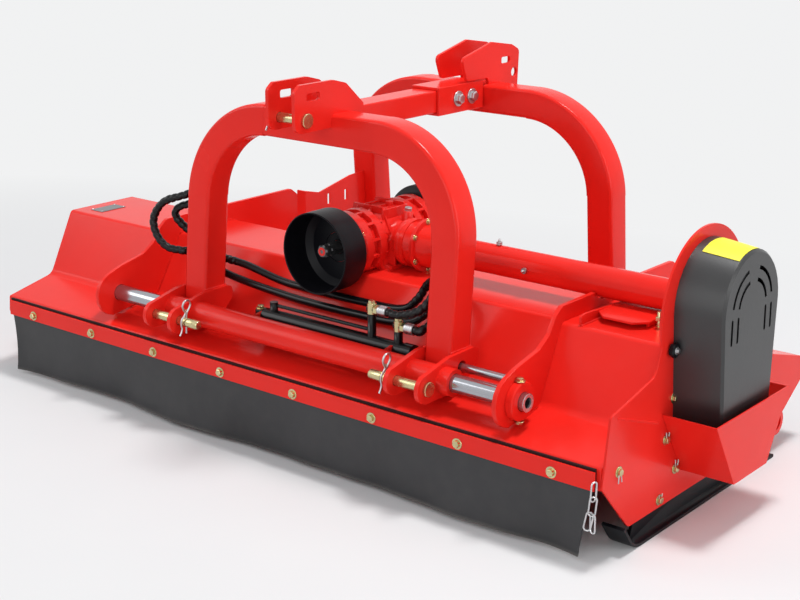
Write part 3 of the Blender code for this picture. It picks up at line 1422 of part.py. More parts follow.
HOOK_Y = STRIP_Y0 - GAP - 0.004
hook_x = SHELL_HALF - 0.019
HOOK_PATH = [(hook_x, HOOK_Y, 0.205), (hook_x, HOOK_Y, 0.120), (hook_x + 0.002, HOOK_Y, 0.094)]
HOOK_PATH += [(hook_x + 0.012, HOOK_Y, 0.076), (hook_x + 0.024, HOOK_Y, 0.086), (hook_x + 0.024, HOOK_Y, 0.106)]
hose("hook", HOOK_PATH, 0.004, STEEL, 0.010, 1)
PLATE_X = 0.039 - SHELL_HALF
box("data_plate", PLATE_X, PLATE_X + 0.050, 0.280, 0.372, BOX_TOP_Z + GAP, BOX_TOP_Z + GAP + 0.0012, STEEL)


# Origin


def settle():
    """Moves the whole machine so that the origin is the middle of its footprint, on the ground."""
    bpy.context.view_layer.update()
    low, high = Vector((9, 9, 9)), Vector((-9, -9, -9))
    graph = bpy.context.evaluated_depsgraph_get()
    for obj in bpy.context.scene.objects:
        mesh = obj.evaluated_get(graph).to_mesh()
        for vertex in mesh.vertices:
            p = obj.matrix_world @ vertex.co
            for k in range(3):
                low[k] = min(low[k], p[k])
                high[k] = max(high[k], p[k])
        obj.evaluated_get(graph).to_mesh_clear()
    offset = Vector((-(low.x + high.x) / 2, -(low.y + high.y) / 2, -low.z))
    for obj in bpy.context.scene.objects:
        obj.location = obj.location + offset
    print("shift", tuple(round(v, 6) for v in offset), "size", tuple(round(v, 4) for v in high - low))


settle()
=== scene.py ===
"""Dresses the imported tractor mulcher: studio, finishes and the detail that the solids leave out."""

from __future__ import annotations

import json
import logging
import math
from dataclasses import dataclass
from enum import Enum
from typing import Any, Callable, Iterable, Sequence

import bmesh
import bpy
from mathutils import Matrix, Vector

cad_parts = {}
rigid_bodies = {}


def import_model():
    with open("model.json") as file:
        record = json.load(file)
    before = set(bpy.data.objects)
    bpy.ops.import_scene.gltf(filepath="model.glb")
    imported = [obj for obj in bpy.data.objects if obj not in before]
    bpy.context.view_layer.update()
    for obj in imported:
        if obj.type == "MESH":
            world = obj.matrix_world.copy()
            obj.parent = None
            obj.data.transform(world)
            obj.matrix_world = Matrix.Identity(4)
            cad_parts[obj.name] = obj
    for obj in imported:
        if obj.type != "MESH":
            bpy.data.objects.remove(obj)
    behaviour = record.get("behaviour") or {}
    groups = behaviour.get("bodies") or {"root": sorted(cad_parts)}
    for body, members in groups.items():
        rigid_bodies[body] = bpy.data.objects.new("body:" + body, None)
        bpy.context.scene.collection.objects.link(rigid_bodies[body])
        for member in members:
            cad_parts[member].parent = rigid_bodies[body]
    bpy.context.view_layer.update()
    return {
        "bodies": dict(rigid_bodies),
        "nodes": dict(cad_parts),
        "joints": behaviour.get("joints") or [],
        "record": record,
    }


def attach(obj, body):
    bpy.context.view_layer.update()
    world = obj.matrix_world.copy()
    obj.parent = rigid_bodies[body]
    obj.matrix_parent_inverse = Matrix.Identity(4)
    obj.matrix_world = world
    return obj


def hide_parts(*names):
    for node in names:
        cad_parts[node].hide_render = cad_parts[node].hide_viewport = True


LOG = logging.getLogger("mulcher")

Mesh = bmesh.types.BMesh
Ring = list[bmesh.types.BMVert]
Point = Sequence[float]
Profile = Sequence[tuple[float, float]]
Spot = tuple[Vector, Point, Point]

# Places are counted from the middle of the housing's front lip, and this is the box's middle from there.
ORIGIN = Vector((-0.0575, -0.4975, 0.0))
# The gearbox's middle, the rotor's height, the right plate's outer face and the front strip's.
GEAR_X, GEAR_Y, GEAR_Z = 0.043, 0.420, 0.494
ROTOR_Z = 0.235
OUTER_X = 1.0153
STRIP_Y = -0.0116
# The slide bars' middles.
BARS_Y = (0.060, 0.935)
BAR_Z = 0.298
# The lower hitch pins' middles.
PIN_Y, PIN_Z = -0.004, 0.294

LEFT, RIGHT, FRONT, UP = (-1, 0, 0), (1, 0, 0), (0, -1, 0), (0, 0, 1)


def place(x: float, y: float, z: float) -> Vector:
    """Turns a place counted from the front lip's middle into the model's frame."""
    return Vector((x, y, z)) + ORIGIN


# Shader building


class Shading:
    """Adds nodes and links to one node tree."""

    def __init__(self, tree: bpy.types.NodeTree) -> None:
        """Keeps the tree that this object fills."""
        self.tree = tree

    def fill(self, node: bpy.types.Node, values: dict[Any, Any]) -> None:
        """Sets a node's inputs.

        Args:
            node: The node.
            values: Input name or number to a value, or to the socket that feeds it.
        """
        for key, value in values.items():
            if isinstance(value, bpy.types.NodeSocket):
                self.tree.links.new(value, node.inputs[key])
            else:
                node.inputs[key].default_value = value

    def add(self, kind: str, values: dict[Any, Any] | None = None, **settings: Any) -> bpy.types.Node:
        """Adds one node.

        Args:
            kind: The node's type name.
            values: Its inputs, as fill takes them.
            settings: The node's own properties.

        Returns:
            The new node.
        """
        node = self.tree.nodes.new(kind)
        for name, setting in settings.items():
            setattr(node, name, setting)
        self.fill(node, values or {})
        return node

    def mix(self, factor: Any, one: Any, two: Any) -> bpy.types.NodeSocket:
        """Mixes two colours and returns the result's socket."""
        return self.add("ShaderNodeMix", {0: factor, 6: one, 7: two}, data_type="RGBA").outputs[2]

    def maths(self, operation: str, *values: Any, clamp: bool = False) -> bpy.types.NodeSocket:
        """Joins numbers with a maths operation and returns the result's socket."""
        inputs = dict(enumerate(values))
        return self.add("ShaderNodeMath", inputs, operation=operation, use_clamp=clamp).outputs[0]

    def noise(self, spot: Any, scale: Any, detail: float) -> bpy.types.NodeSocket:
        """A noise value from 0 to 1 at a place."""
        inputs = {"Vector": spot, "Scale": scale, "Detail": detail}
        return self.add("ShaderNodeTexNoise", inputs).outputs["Fac"]

    def group(self, make: Callable[[str], bpy.types.NodeTree], **values: Any) -> bpy.types.NodeSocket:
        """Adds a shared node group, made on its first use, and returns its result's socket."""
        tree = bpy.data.node_groups.get(make.__name__) or make(make.__name__)
        return self.add("ShaderNodeGroup", values, node_tree=tree).outputs[0]


def new_group(name: str, inputs: dict[str, float], output: str) -> tuple[Shading, Any, Any]:
    """Starts a shader node group with a vector input, numbers and one result.

    Args:
        name: The group's name.
        inputs: Each number input with its default.
        output: The result's name.

    Returns:
        The group's builder, its inputs by name and the socket that takes its result.
    """
    tree = bpy.data.node_groups.new(name, "ShaderNodeTree")
    tree.interface.new_socket("Vector", in_out="INPUT", socket_type="NodeSocketVector")
    for key, value in inputs.items():
        tree.interface.new_socket(key, in_out="INPUT", socket_type="NodeSocketFloat").default_value = value
    tree.interface.new_socket(output, in_out="OUTPUT", socket_type="NodeSocketFloat")
    build = Shading(tree)
    return build, build.add("NodeGroupInput").outputs, build.add("NodeGroupOutput").inputs[0]


class SurfaceGroups:
    """The effects that the finishes share, each a node group that gives a mask or a height."""

    @staticmethod
    def paint_mottle(name: str) -> bpy.types.NodeTree:
        """Makes the group of broad soft patches.

        Args:
            name: The group's name.

        Returns:
            The group, whose mask goes from 0 to 1.
        """
        build, given, result = new_group(name, {"Scale": 6.0, "Contrast": 1.0}, "Mask")
        centred = build.maths("SUBTRACT", build.noise(given["Vector"], given["Scale"], 3.0), 0.5)
        spread = build.maths("MULTIPLY", centred, given["Contrast"])
        build.tree.links.new(build.maths("ADD", spread, 0.5, clamp=True), result)
        return build.tree

    @staticmethod
    def settled_dust(name: str) -> bpy.types.NodeTree:
        """Makes the group of dust, which lies on what faces up and speckles the rest.

        Args:
            name: The group's name.

        Returns:
            The group, whose mask goes from 0 to its amount.
        """
        build, given, result = new_group(name, {"Scale": 30.0, "Amount": 0.2}, "Mask")
        normal = build.add("ShaderNodeNewGeometry").outputs["Normal"]
        up = build.add("ShaderNodeSeparateXYZ", {0: normal}).outputs["Z"]
        lying = build.maths("MULTIPLY_ADD", up, 0.5, 0.5)
        noise = build.noise(given["Vector"], given["Scale"], 6.0)
        specks = build.add("ShaderNodeMapRange", {0: noise, 1: 0.42, 2: 0.74}).outputs[0]
        both = build.maths("MULTIPLY", lying, specks)
        build.tree.links.new(build.maths("MULTIPLY", both, given["Amount"], clamp=True), result)
        return build.tree

    @staticmethod
    def surface_grain(name: str) -> bpy.types.NodeTree:
        """Makes the group of fine height: sprayed paint's ripple, a casting's skin or turned lines.

        Args:
            name: The group's name.

        Returns:
            The group, which gives a height.
        """
        build, given, result = new_group(name, {"Scale": 200.0, "Lines": 0.0}, "Height")
        spot, scale = given["Vector"], given["Scale"]
        fine = build.noise(spot, scale, 2.0)
        coarse = build.noise(spot, build.maths("MULTIPLY", scale, 0.22), 2.0)
        wave = build.add("ShaderNodeTexWave", {"Vector": spot, "Scale": scale}).outputs["Fac"]
        lines = build.maths("MULTIPLY", wave, given["Lines"])
        build.tree.links.new(build.maths("ADD", build.maths("ADD", fine, coarse), lines), result)
        return build.tree


@dataclass(frozen=True)
class Finish:
    """One surface finish and the numbers that its material is built from."""

    title: str
    colour: tuple[float, float, float]
    roughness: float
    metallic: float = 0.0
    coat: float = 0.0
    specular: float = 0.5
    mottle: float = 0.10
    mottle_scale: float = 5.0
    dust: float = 0.10
    dust_colour: tuple[float, float, float] = (0.42, 0.38, 0.33)
    grain: float = 0.05
    grain_scale: float = 160.0
    lines: float = 0.0
    fade: tuple[float, float] | None = None

    def material(self) -> bpy.types.Material:
        """Builds the finish's material, or gives the one already built.

        Returns:
            The material.
        """
        found = bpy.data.materials.get(self.title)
        if found:
            return found
        mat = bpy.data.materials.new(self.title)
        mat.use_nodes = True
        build = Shading(mat.node_tree)
        spot = build.add("ShaderNodeTexCoord").outputs["Object"]
        mottle = build.group(SurfaceGroups.paint_mottle, Vector=spot, Scale=self.mottle_scale, Contrast=1.6)
        dust = build.group(SurfaceGroups.settled_dust, Vector=spot, Scale=26.0, Amount=self.dust)
        grain = build.group(
            SurfaceGroups.surface_grain, Vector=spot, Scale=self.grain_scale, Lines=self.lines
        )
        if self.fade:
            height = build.add("ShaderNodeSeparateXYZ", {0: spot}).outputs["Z"]
            spans = {0: height, 1: self.fade[0], 2: self.fade[1], 3: 0.5, 4: 0.0}
            low = build.add("ShaderNodeMapRange", spans).outputs[0]
            dust = build.maths("ADD", dust, build.maths("MULTIPLY", low, mottle), clamp=True)
        deep = [c * (1 - self.mottle) for c in self.colour]
        pale = [min(1.0, c * (1 + self.mottle) + 0.004 * self.mottle) for c in self.colour]
        paint = build.mix(mottle, (*deep, 1.0), (*pale, 1.0))
        rough = build.maths("MULTIPLY_ADD", mottle, 0.10, max(0.02, self.roughness - 0.05))
        bump = build.add("ShaderNodeBump", {"Strength": self.grain, "Distance": 0.0006, "Height": grain})
        values = {
            "Base Color": build.mix(dust, paint, (*self.dust_colour, 1.0)),
            "Roughness": build.maths("MULTIPLY_ADD", dust, 0.5, rough),
            "Normal": bump.outputs[0],
            "Metallic": self.metallic,
            "Coat Weight": self.coat,
            "Coat Roughness": 0.06,
            "Specular IOR Level": self.specular,
        }
        build.fill(mat.node_tree.nodes["Principled BSDF"], values)
        return mat


class Finishes(Enum):
    """The finishes of the machine, by what they are on."""

    RED = Finish(
        "red enamel", (0.80, 0.020, 0.013), 0.24, coat=0.04, specular=0.17, mottle=0.05, dust=0.01, grain=0.05
    )
    BLACK = Finish(
        "black enamel", (0.008, 0.008, 0.009), 0.30, specular=0.20, mottle=0.2, dust=0.01, grain=0.06
    )
    GLOSS = Finish(
        "gloss black", (0.004, 0.004, 0.005), 0.18, coat=0.04, specular=0.22, mottle=0.1, dust=0.015,
        grain=0.03,
    )
    # The clamped rubber band's dark red tint is a painted shadow: it copies the shade under the front strip.
    SHADOW_BAND = Finish(
        "clamped rubber edge", (0.016, 0.003, 0.003), 0.65, specular=0.2, mottle=0.2, dust=0, grain=0.2
    )
    COVER = Finish(
        "black powder coat", (0.015, 0.015, 0.016), 0.36, specular=0.7, mottle=0.15, dust=0.01, grain=0.2,
        grain_scale=420,
    )
    RUBBER = Finish(
        "flap rubber", (0.018, 0.018, 0.020), 0.43, mottle=0.40, mottle_scale=2.6, dust=0.03, grain=0.30,
        grain_scale=90, fade=(0.006, 0.022),
    )
    HOSE = Finish(
        "wrapped hose", (0.004, 0.004, 0.005), 0.25, specular=0.26, mottle=0.2, dust=0.01, grain=0.10,
        grain_scale=400,
    )
    GUARD = Finish(
        "guard plastic", (0.004, 0.004, 0.006), 0.40, specular=0.15, mottle=0.2, dust=0.006, grain=0.18,
        grain_scale=500,
    )
    CHROME = Finish(
        "hard chrome", (0.40, 0.41, 0.44), 0.16, metallic=0.92, mottle=0.05, dust=0.02, grain=0.03
    )
    STEEL = Finish("bright steel", (0.52, 0.52, 0.53), 0.32, metallic=1.0, dust=0.06, grain=0.08, lines=0.6)
    ZINC = Finish(
        "yellow zinc", (0.58, 0.51, 0.28), 0.24, metallic=0.95, mottle=0.20, mottle_scale=70, dust=0.02
    )
    FORGED = Finish(
        "forged steel", (0.13, 0.13, 0.135), 0.55, metallic=0.9, mottle=0.30, mottle_scale=22, dust=0.12,
        grain=0.35, grain_scale=240,
    )
    CAST_RED = Finish(
        "red casting", (0.74, 0.016, 0.011), 0.28, coat=0.10, specular=0.25, dust=0.04, grain=0.45,
        grain_scale=300,
    )
    BRIGHT = Finish(
        "bright link steel", (0.58, 0.58, 0.59), 0.28, metallic=0.7, mottle=0.12, mottle_scale=40, dust=0.02,
        grain=0.06,
    )
    YELLOW = Finish("yellow panel", (0.88, 0.80, 0.03), 0.45, mottle=0.04, dust=0.02, grain=0.02)
    PLATE = Finish(
        "bare plate", (0.20, 0.21, 0.22), 0.30, metallic=1.0, mottle=0.08, dust=0.06, grain=0.06, lines=0.3
    )

    def material(self) -> bpy.types.Material:
        """The material of this finish."""
        return self.value.material()


# Mesh building


def linked(name: str, data: Any) -> bpy.types.Object:
    """Puts a new object with this data into the scene and returns it."""
    bpy.context.scene.collection.objects.link(bpy.data.objects.new(name, data))
    return bpy.data.objects[name]


def shade(mesh: bpy.types.Mesh, limit: float) -> None:
    """Shades a mesh smooth, but for edges sharper than this many degrees."""
    mesh.polygons.foreach_set("use_smooth", [True] * len(mesh.polygons))
    mesh.set_sharp_from_angle(angle=math.radians(limit))


def evaluated(piece: bpy.types.Object) -> bpy.types.Mesh:
    """A new mesh of a piece as its modifiers leave it."""
    return bpy.data.meshes.new_from_object(piece.evaluated_get(bpy.context.evaluated_depsgraph_get()))


def break_edges(bm: Mesh, width: float, over: float, steps: int = 2) -> None:
    """Bevels a mesh's sharp outward edges.

    Args:
        bm: The mesh.
        width: The bevel's width.
        over: Edges sharper than this many degrees are bevelled.
        steps: How many flats the bevel has.
    """
    limit = math.radians(over)
    sharp = [e for e in bm.edges if e.is_manifold and e.is_convex and e.calc_face_angle(0.0) > limit]
    bmesh.ops.bevel(
        bm, geom=sharp, offset=width, segments=steps, profile=0.5, affect="EDGES", clamp_overlap=True
    )


def to_piece(
    name: str, bm: Mesh, finish: Finishes, body: str = "", node: str = "",
    smooth: float = 40.0, edge: float = 0.0,
) -> bpy.types.Object:
    """Args:
        name: The piece's name.
        bm: Its mesh, in the model's frame. It is freed.
        finish: The finish that it takes.
        body: The body that it rides on. A prototype has none.
        node: The CAD node that it replaces, if any.
        smooth: Edges flatter than this many degrees are shaded smooth.
        edge: The width by which its sharp edges are broken.

    Returns:
        The piece, at the origin.
    """
    bmesh.ops.remove_doubles(bm, verts=bm.verts, dist=1e-6)
    bmesh.ops.recalc_face_normals(bm, faces=bm.faces)
    if edge:
        break_edges(bm, edge, 35)
    mesh = bpy.data.meshes.new(name)
    bm.to_mesh(mesh)
    bm.free()
    shade(mesh, smooth)
    mesh.materials.append(finish.material())
    piece = linked(name, mesh)
    if body:
        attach(piece, body)
    if node:
        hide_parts(node)
    LOG.info("%s has %d faces", name, len(mesh.polygons))
    return piece


def bridge(bm: Mesh, rows: Sequence[Ring], closed: bool = False) -> None:
    """Joins rings of equally many vertices, each to the next.

    Args:
        bm: The mesh that they are in.
        rows: The rings.
        closed: Whether the last ring is joined to the first as well.
    """
    for i in range(0 if closed else 1, len(rows)):
        one, two = rows[i - 1], rows[i]
        for k in range(len(one)):
            bm.faces.new((one[k - 1], one[k], two[k], two[k - 1]))


def loft(bm: Mesh, rows: Sequence[Iterable[Point]]) -> None:
    """Adds a body through rings of points, with a face at each end.

    Args:
        bm: The mesh that it goes into.
        rows: The rings' points, in the model's frame.
    """
    rings = [[bm.verts.new(p) for p in row] for row in rows]
    bridge(bm, rings)
    bm.faces.new(rings[0])
    bm.faces.new(rings[-1])


def slab(bm: Mesh, outline: Iterable[Point], thick: Point) -> None:
    """Adds a plate: an outline, counted from the front lip's middle, and its copy a thickness away."""
    low = [place(*p) for p in outline]
    loft(bm, [low, [p + Vector(thick) for p in low]])


def facing(point: Vector, direction: Point) -> Matrix:
    """A frame at a point whose Z looks along a direction."""
    turn = Vector(UP).rotation_difference(Vector(direction))
    return Matrix.Translation(point) @ turn.to_matrix().to_4x4()


def lathe(
    bm: Mesh, profile: Profile, foot: Vector, look: Point = UP, count: int = 24, closed: bool = False
) -> None:
    """Adds a turned body.

    Args:
        bm: The mesh that it goes into.
        profile: (height, radius) pairs along the axis.
        foot: The axis's foot, from which heights count.
        look: The axis's direction.
        count: Sides round the axis.
        closed: Whether the profile closes on itself, as a ring's does. If not, both ends are filled.
    """
    frame = facing(foot, look)
    turn = [math.tau * k / count for k in range(count)]
    rings = []
    for height, radius in profile:
        row = [Vector((radius * math.cos(t), radius * math.sin(t), height)) for t in turn]
        rings.append([bm.verts.new(frame @ p) for p in row])
    bridge(bm, rings, closed)
    for ring, height in () if closed else ((rings[0], profile[0][0]), (rings[-1], profile[-1][0])):
        middle = bm.verts.new(frame @ Vector((0, 0, height)))
        for k in range(count):
            bm.faces.new((ring[k - 1], ring[k], middle))


def arched(
    bm: Mesh, section: Profile, middle: tuple[float, float], start: float, end: float, steps: int
) -> None:
    """Adds a bar that bends round an axis along X.

    Args:
        bm: The mesh that it goes into.
        section: The corners of its section, as (x, radius) pairs.
        middle: The axis's y and z.
        start: The angle in degrees at which it starts, counted from the back over the top.
        end: The angle at which it ends.
        steps: How many flats it has.
    """
    rows = []
    for k in range(steps + 1):
        t = math.radians(start + (end - start) * k / steps)
        rows.append([place(x, middle[0] + r * math.cos(t), middle[1] + r * math.sin(t)) for x, r in section])
    loft(bm, rows)


def sweep(bm: Mesh, path: Sequence[Vector], radius: Callable[[float, float], float], count: int) -> None:
    """Adds a round bar along a path, with flat ends.

    Args:
        bm: The mesh that it goes into.
        path: The points of its centreline.
        radius: Gives its radius from the distance run along it and the share of a turn round it.
        count: Sides round the bar.
    """
    rows, run, last = [], 0.0, len(path) - 1
    tangent = (path[1] - path[0]).normalized()
    side = tangent.orthogonal().normalized()
    for i, point in enumerate(path):
        ahead = (path[min(i + 1, last)] - path[max(i - 1, 0)]).normalized()
        side = (tangent.rotation_difference(ahead) @ side).normalized()
        tangent = ahead
        up = tangent.cross(side)
        row = []
        for k in range(count):
            t = math.tau * k / count
            row.append(point + (side * math.cos(t) + up * math.sin(t)) * radius(run, k / count))
        rows.append(row)
        run += (path[min(i + 1, last)] - point).length
    loft(bm, rows)


def smooth_path(points: Iterable[Point], spacing: float) -> list[Vector]:
    """Evenly spaced points on a smooth curve through a route's points.

    Args:
        points: The route's points.
        spacing: The distance between the points that come out.

    Returns:
        The curve's points, both ends kept.
    """
    pts = [Vector(p) for p in points]
    pts = [2 * pts[0] - pts[1]] + pts + [2 * pts[-1] - pts[-2]]
    fine: list[Vector] = []
    for i in range(1, len(pts) - 2):
        a, b, c, d = pts[i - 1 : i + 3]
        for t in (k / 24 for k in range(24)):
            bend = (2 * a - 5 * b + 4 * c - d) * t * t + (3 * b - a - 3 * c + d) * t**3
            fine.append(0.5 * (2 * b + (c - a) * t + bend))
    fine.append(pts[-2])
    total = sum((q - p).length for p, q in zip(fine, fine[1:]))
    count = max(2, round(total / spacing))
    out, run = [fine[0]], 0.0
    for p, q in zip(fine, fine[1:]):
        step = (q - p).length
        while run + step >= total / count * len(out) - 1e-9 and len(out) < count:
            out.append(p.lerp(q, (total / count * len(out) - run) / step))
        run += step
    return [*out, fine[-1]]


# Repeated pieces


class Repeat:
    """A Geometry Nodes tree that sets a prototype on every point of a mesh, and what it makes of it."""

    def __init__(self) -> None:
        """Builds the tree once, with its named inputs."""
        tree = bpy.data.node_groups.new("set on points", "GeometryNodeTree")
        for key, kind, where in (
            ("Geometry", "Geometry", "OUTPUT"),
            ("Geometry", "Geometry", "INPUT"),
            ("Prototype", "Object", "INPUT"),
            ("Size", "Float", "INPUT"),
            ("Spread", "Float", "INPUT"),
            ("Seed", "Int", "INPUT"),
            ("Finish", "Material", "INPUT"),
        ):
            tree.interface.new_socket(key, in_out=where, socket_type="NodeSocket" + kind)
        build = Shading(tree)
        given, result = build.add("NodeGroupInput").outputs, build.add("NodeGroupOutput").inputs[0]
        proto = build.add("GeometryNodeObjectInfo", {"Object": given["Prototype"]})
        named = "GeometryNodeInputNamedAttribute"
        heading = build.add(named, {"Name": "heading"}, data_type="FLOAT_VECTOR").outputs[0]
        rolling = build.add(named, {"Name": "rolling"}, data_type="FLOAT_VECTOR").outputs[0]
        align = "FunctionNodeAlignEulerToVector"
        up = build.add(align, {"Vector": heading}, axis="Z").outputs[0]
        turned = build.add(align, {"Rotation": up, "Vector": rolling}, axis="X", pivot_axis="Z").outputs[0]
        shares = build.add("FunctionNodeRandomValue", {2: 1.0, "Seed": given["Seed"]}, data_type="FLOAT")
        centred = build.maths("SUBTRACT", shares.outputs[1], 0.5)
        share = build.maths("ADD", build.maths("MULTIPLY", centred, given["Spread"]), 1.0)
        copies = {"Points": given["Geometry"], "Instance": proto.outputs["Geometry"], "Rotation": turned}
        copies["Scale"] = build.maths("MULTIPLY", share, given["Size"])
        put = build.add("GeometryNodeInstanceOnPoints", copies).outputs[0]
        real = build.add("GeometryNodeRealizeInstances", {0: put}).outputs[0]
        dressed = build.add("GeometryNodeSetMaterial", {"Geometry": real, "Material": given["Finish"]})
        tree.links.new(dressed.outputs[0], result)
        self.tree = tree

    def make(
        self, name: str, prototype: bpy.types.Object, places: Sequence[Spot], size: float, finish: Finishes,
        body: str, spread: float = 0.0,
    ) -> bpy.types.Object:
        """Makes one mesh piece of a prototype set on many points.

        Args:
            name: The piece's name.
            prototype: The object to repeat. It stays hidden.
            places: (point, direction that its Z takes, direction that its X leans to) for each copy.
            size: The scale of every copy.
            finish: The finish of the copies.
            body: The body that the piece rides on.
            spread: How far the copies' sizes differ, as a share of their size.

        Returns:
            The baked piece, at the origin.
        """
        mesh = bpy.data.meshes.new(name + "_points")
        mesh.from_pydata([tuple(p) for p, _, _ in places], [], [])
        for key, index in (("heading", 1), ("rolling", 2)):
            layer = mesh.attributes.new(key, "FLOAT_VECTOR", "POINT")
            layer.data.foreach_set("vector", [float(c) for entry in places for c in entry[index]])
        holder = linked(name + "_points", mesh)
        modifier = holder.modifiers.new("repeat", "NODES")
        modifier.node_group = self.tree
        wanted = {"Prototype": prototype, "Size": size, "Spread": spread, "Seed": 7}
        wanted["Finish"] = finish.material()
        for item in self.tree.interface.items_tree:
            if item.in_out == "INPUT" and item.name in wanted:
                modifier[item.identifier] = wanted[item.name]
        holder.update_tag()
        bpy.context.view_layer.update()
        baked = evaluated(holder)
        baked.name = name
        bpy.data.objects.remove(holder, do_unlink=True)
        bpy.data.meshes.remove(mesh)
        shade(baked, 32)
        piece = linked(name, baked)
        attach(piece, body)
        LOG.info("%s has %d copies", name, len(places))
        return piece


class Prototypes:
    """The small pieces that are repeated, each of about unit radius and hidden."""

    def hide(self, piece: bpy.types.Object) -> bpy.types.Object:
        """Takes a prototype out of the scene and leaves its data for the tree."""
        bpy.context.scene.collection.objects.unlink(piece)
        return piece

    def bolt(self) -> bpy.types.Object:
        """Makes a hexagon head with a chamfered top over a flat washer.

        Returns:
            The hidden prototype.
        """
        bm, foot = bmesh.new(), Vector()
        lathe(bm, [(0.0, 1.34), (0.10, 1.40), (0.18, 1.36), (0.20, 1.22)], foot)
        lathe(bm, [(0.17, 0.94), (0.80, 0.94), (0.93, 0.80), (0.96, 0.60)], foot, count=6)
        return self.hide(to_piece("bolt_prototype", bm, Finishes.ZINC))

    def bead(self) -> bpy.types.Object:
        """Makes one ripple of a weld, squat across and short along.

        Returns:
            The hidden prototype.
        """
        bm = bmesh.new()
        bmesh.ops.create_uvsphere(bm, u_segments=8, v_segments=5, radius=1.0)
        bmesh.ops.scale(bm, verts=bm.verts, vec=(1.0, 0.82, 0.62))
        return self.hide(to_piece("bead_prototype", bm, Finishes.RED))

    def link(self) -> bpy.types.Object:
        """Makes one chain link, long in Z and flat in Y.

        Returns:
            The hidden prototype.
        """
        bm, count, sides, wire, across = bmesh.new(), 20, 7, 0.125, Vector((0, 1, 0))
        path = []
        for t in (math.tau * i / count for i in range(count)):
            half = math.copysign(0.92, math.sin(t + 1e-6))
            path.append(Vector((0.48 * math.cos(t), 0, 0.48 * math.sin(t) + half)))
        rings = []
        for i, point in enumerate(path):
            out = across.cross((path[(i + 1) % count] - path[i - 1]).normalized())
            turn = (math.tau * k / sides for k in range(sides))
            row = [point + (out * math.cos(a) + across * math.sin(a)) * wire for a in turn]
            rings.append([bm.verts.new(p) for p in row])
        bridge(bm, rings, closed=True)
        return self.hide(to_piece("link_prototype", bm, Finishes.STEEL))


# Hoses


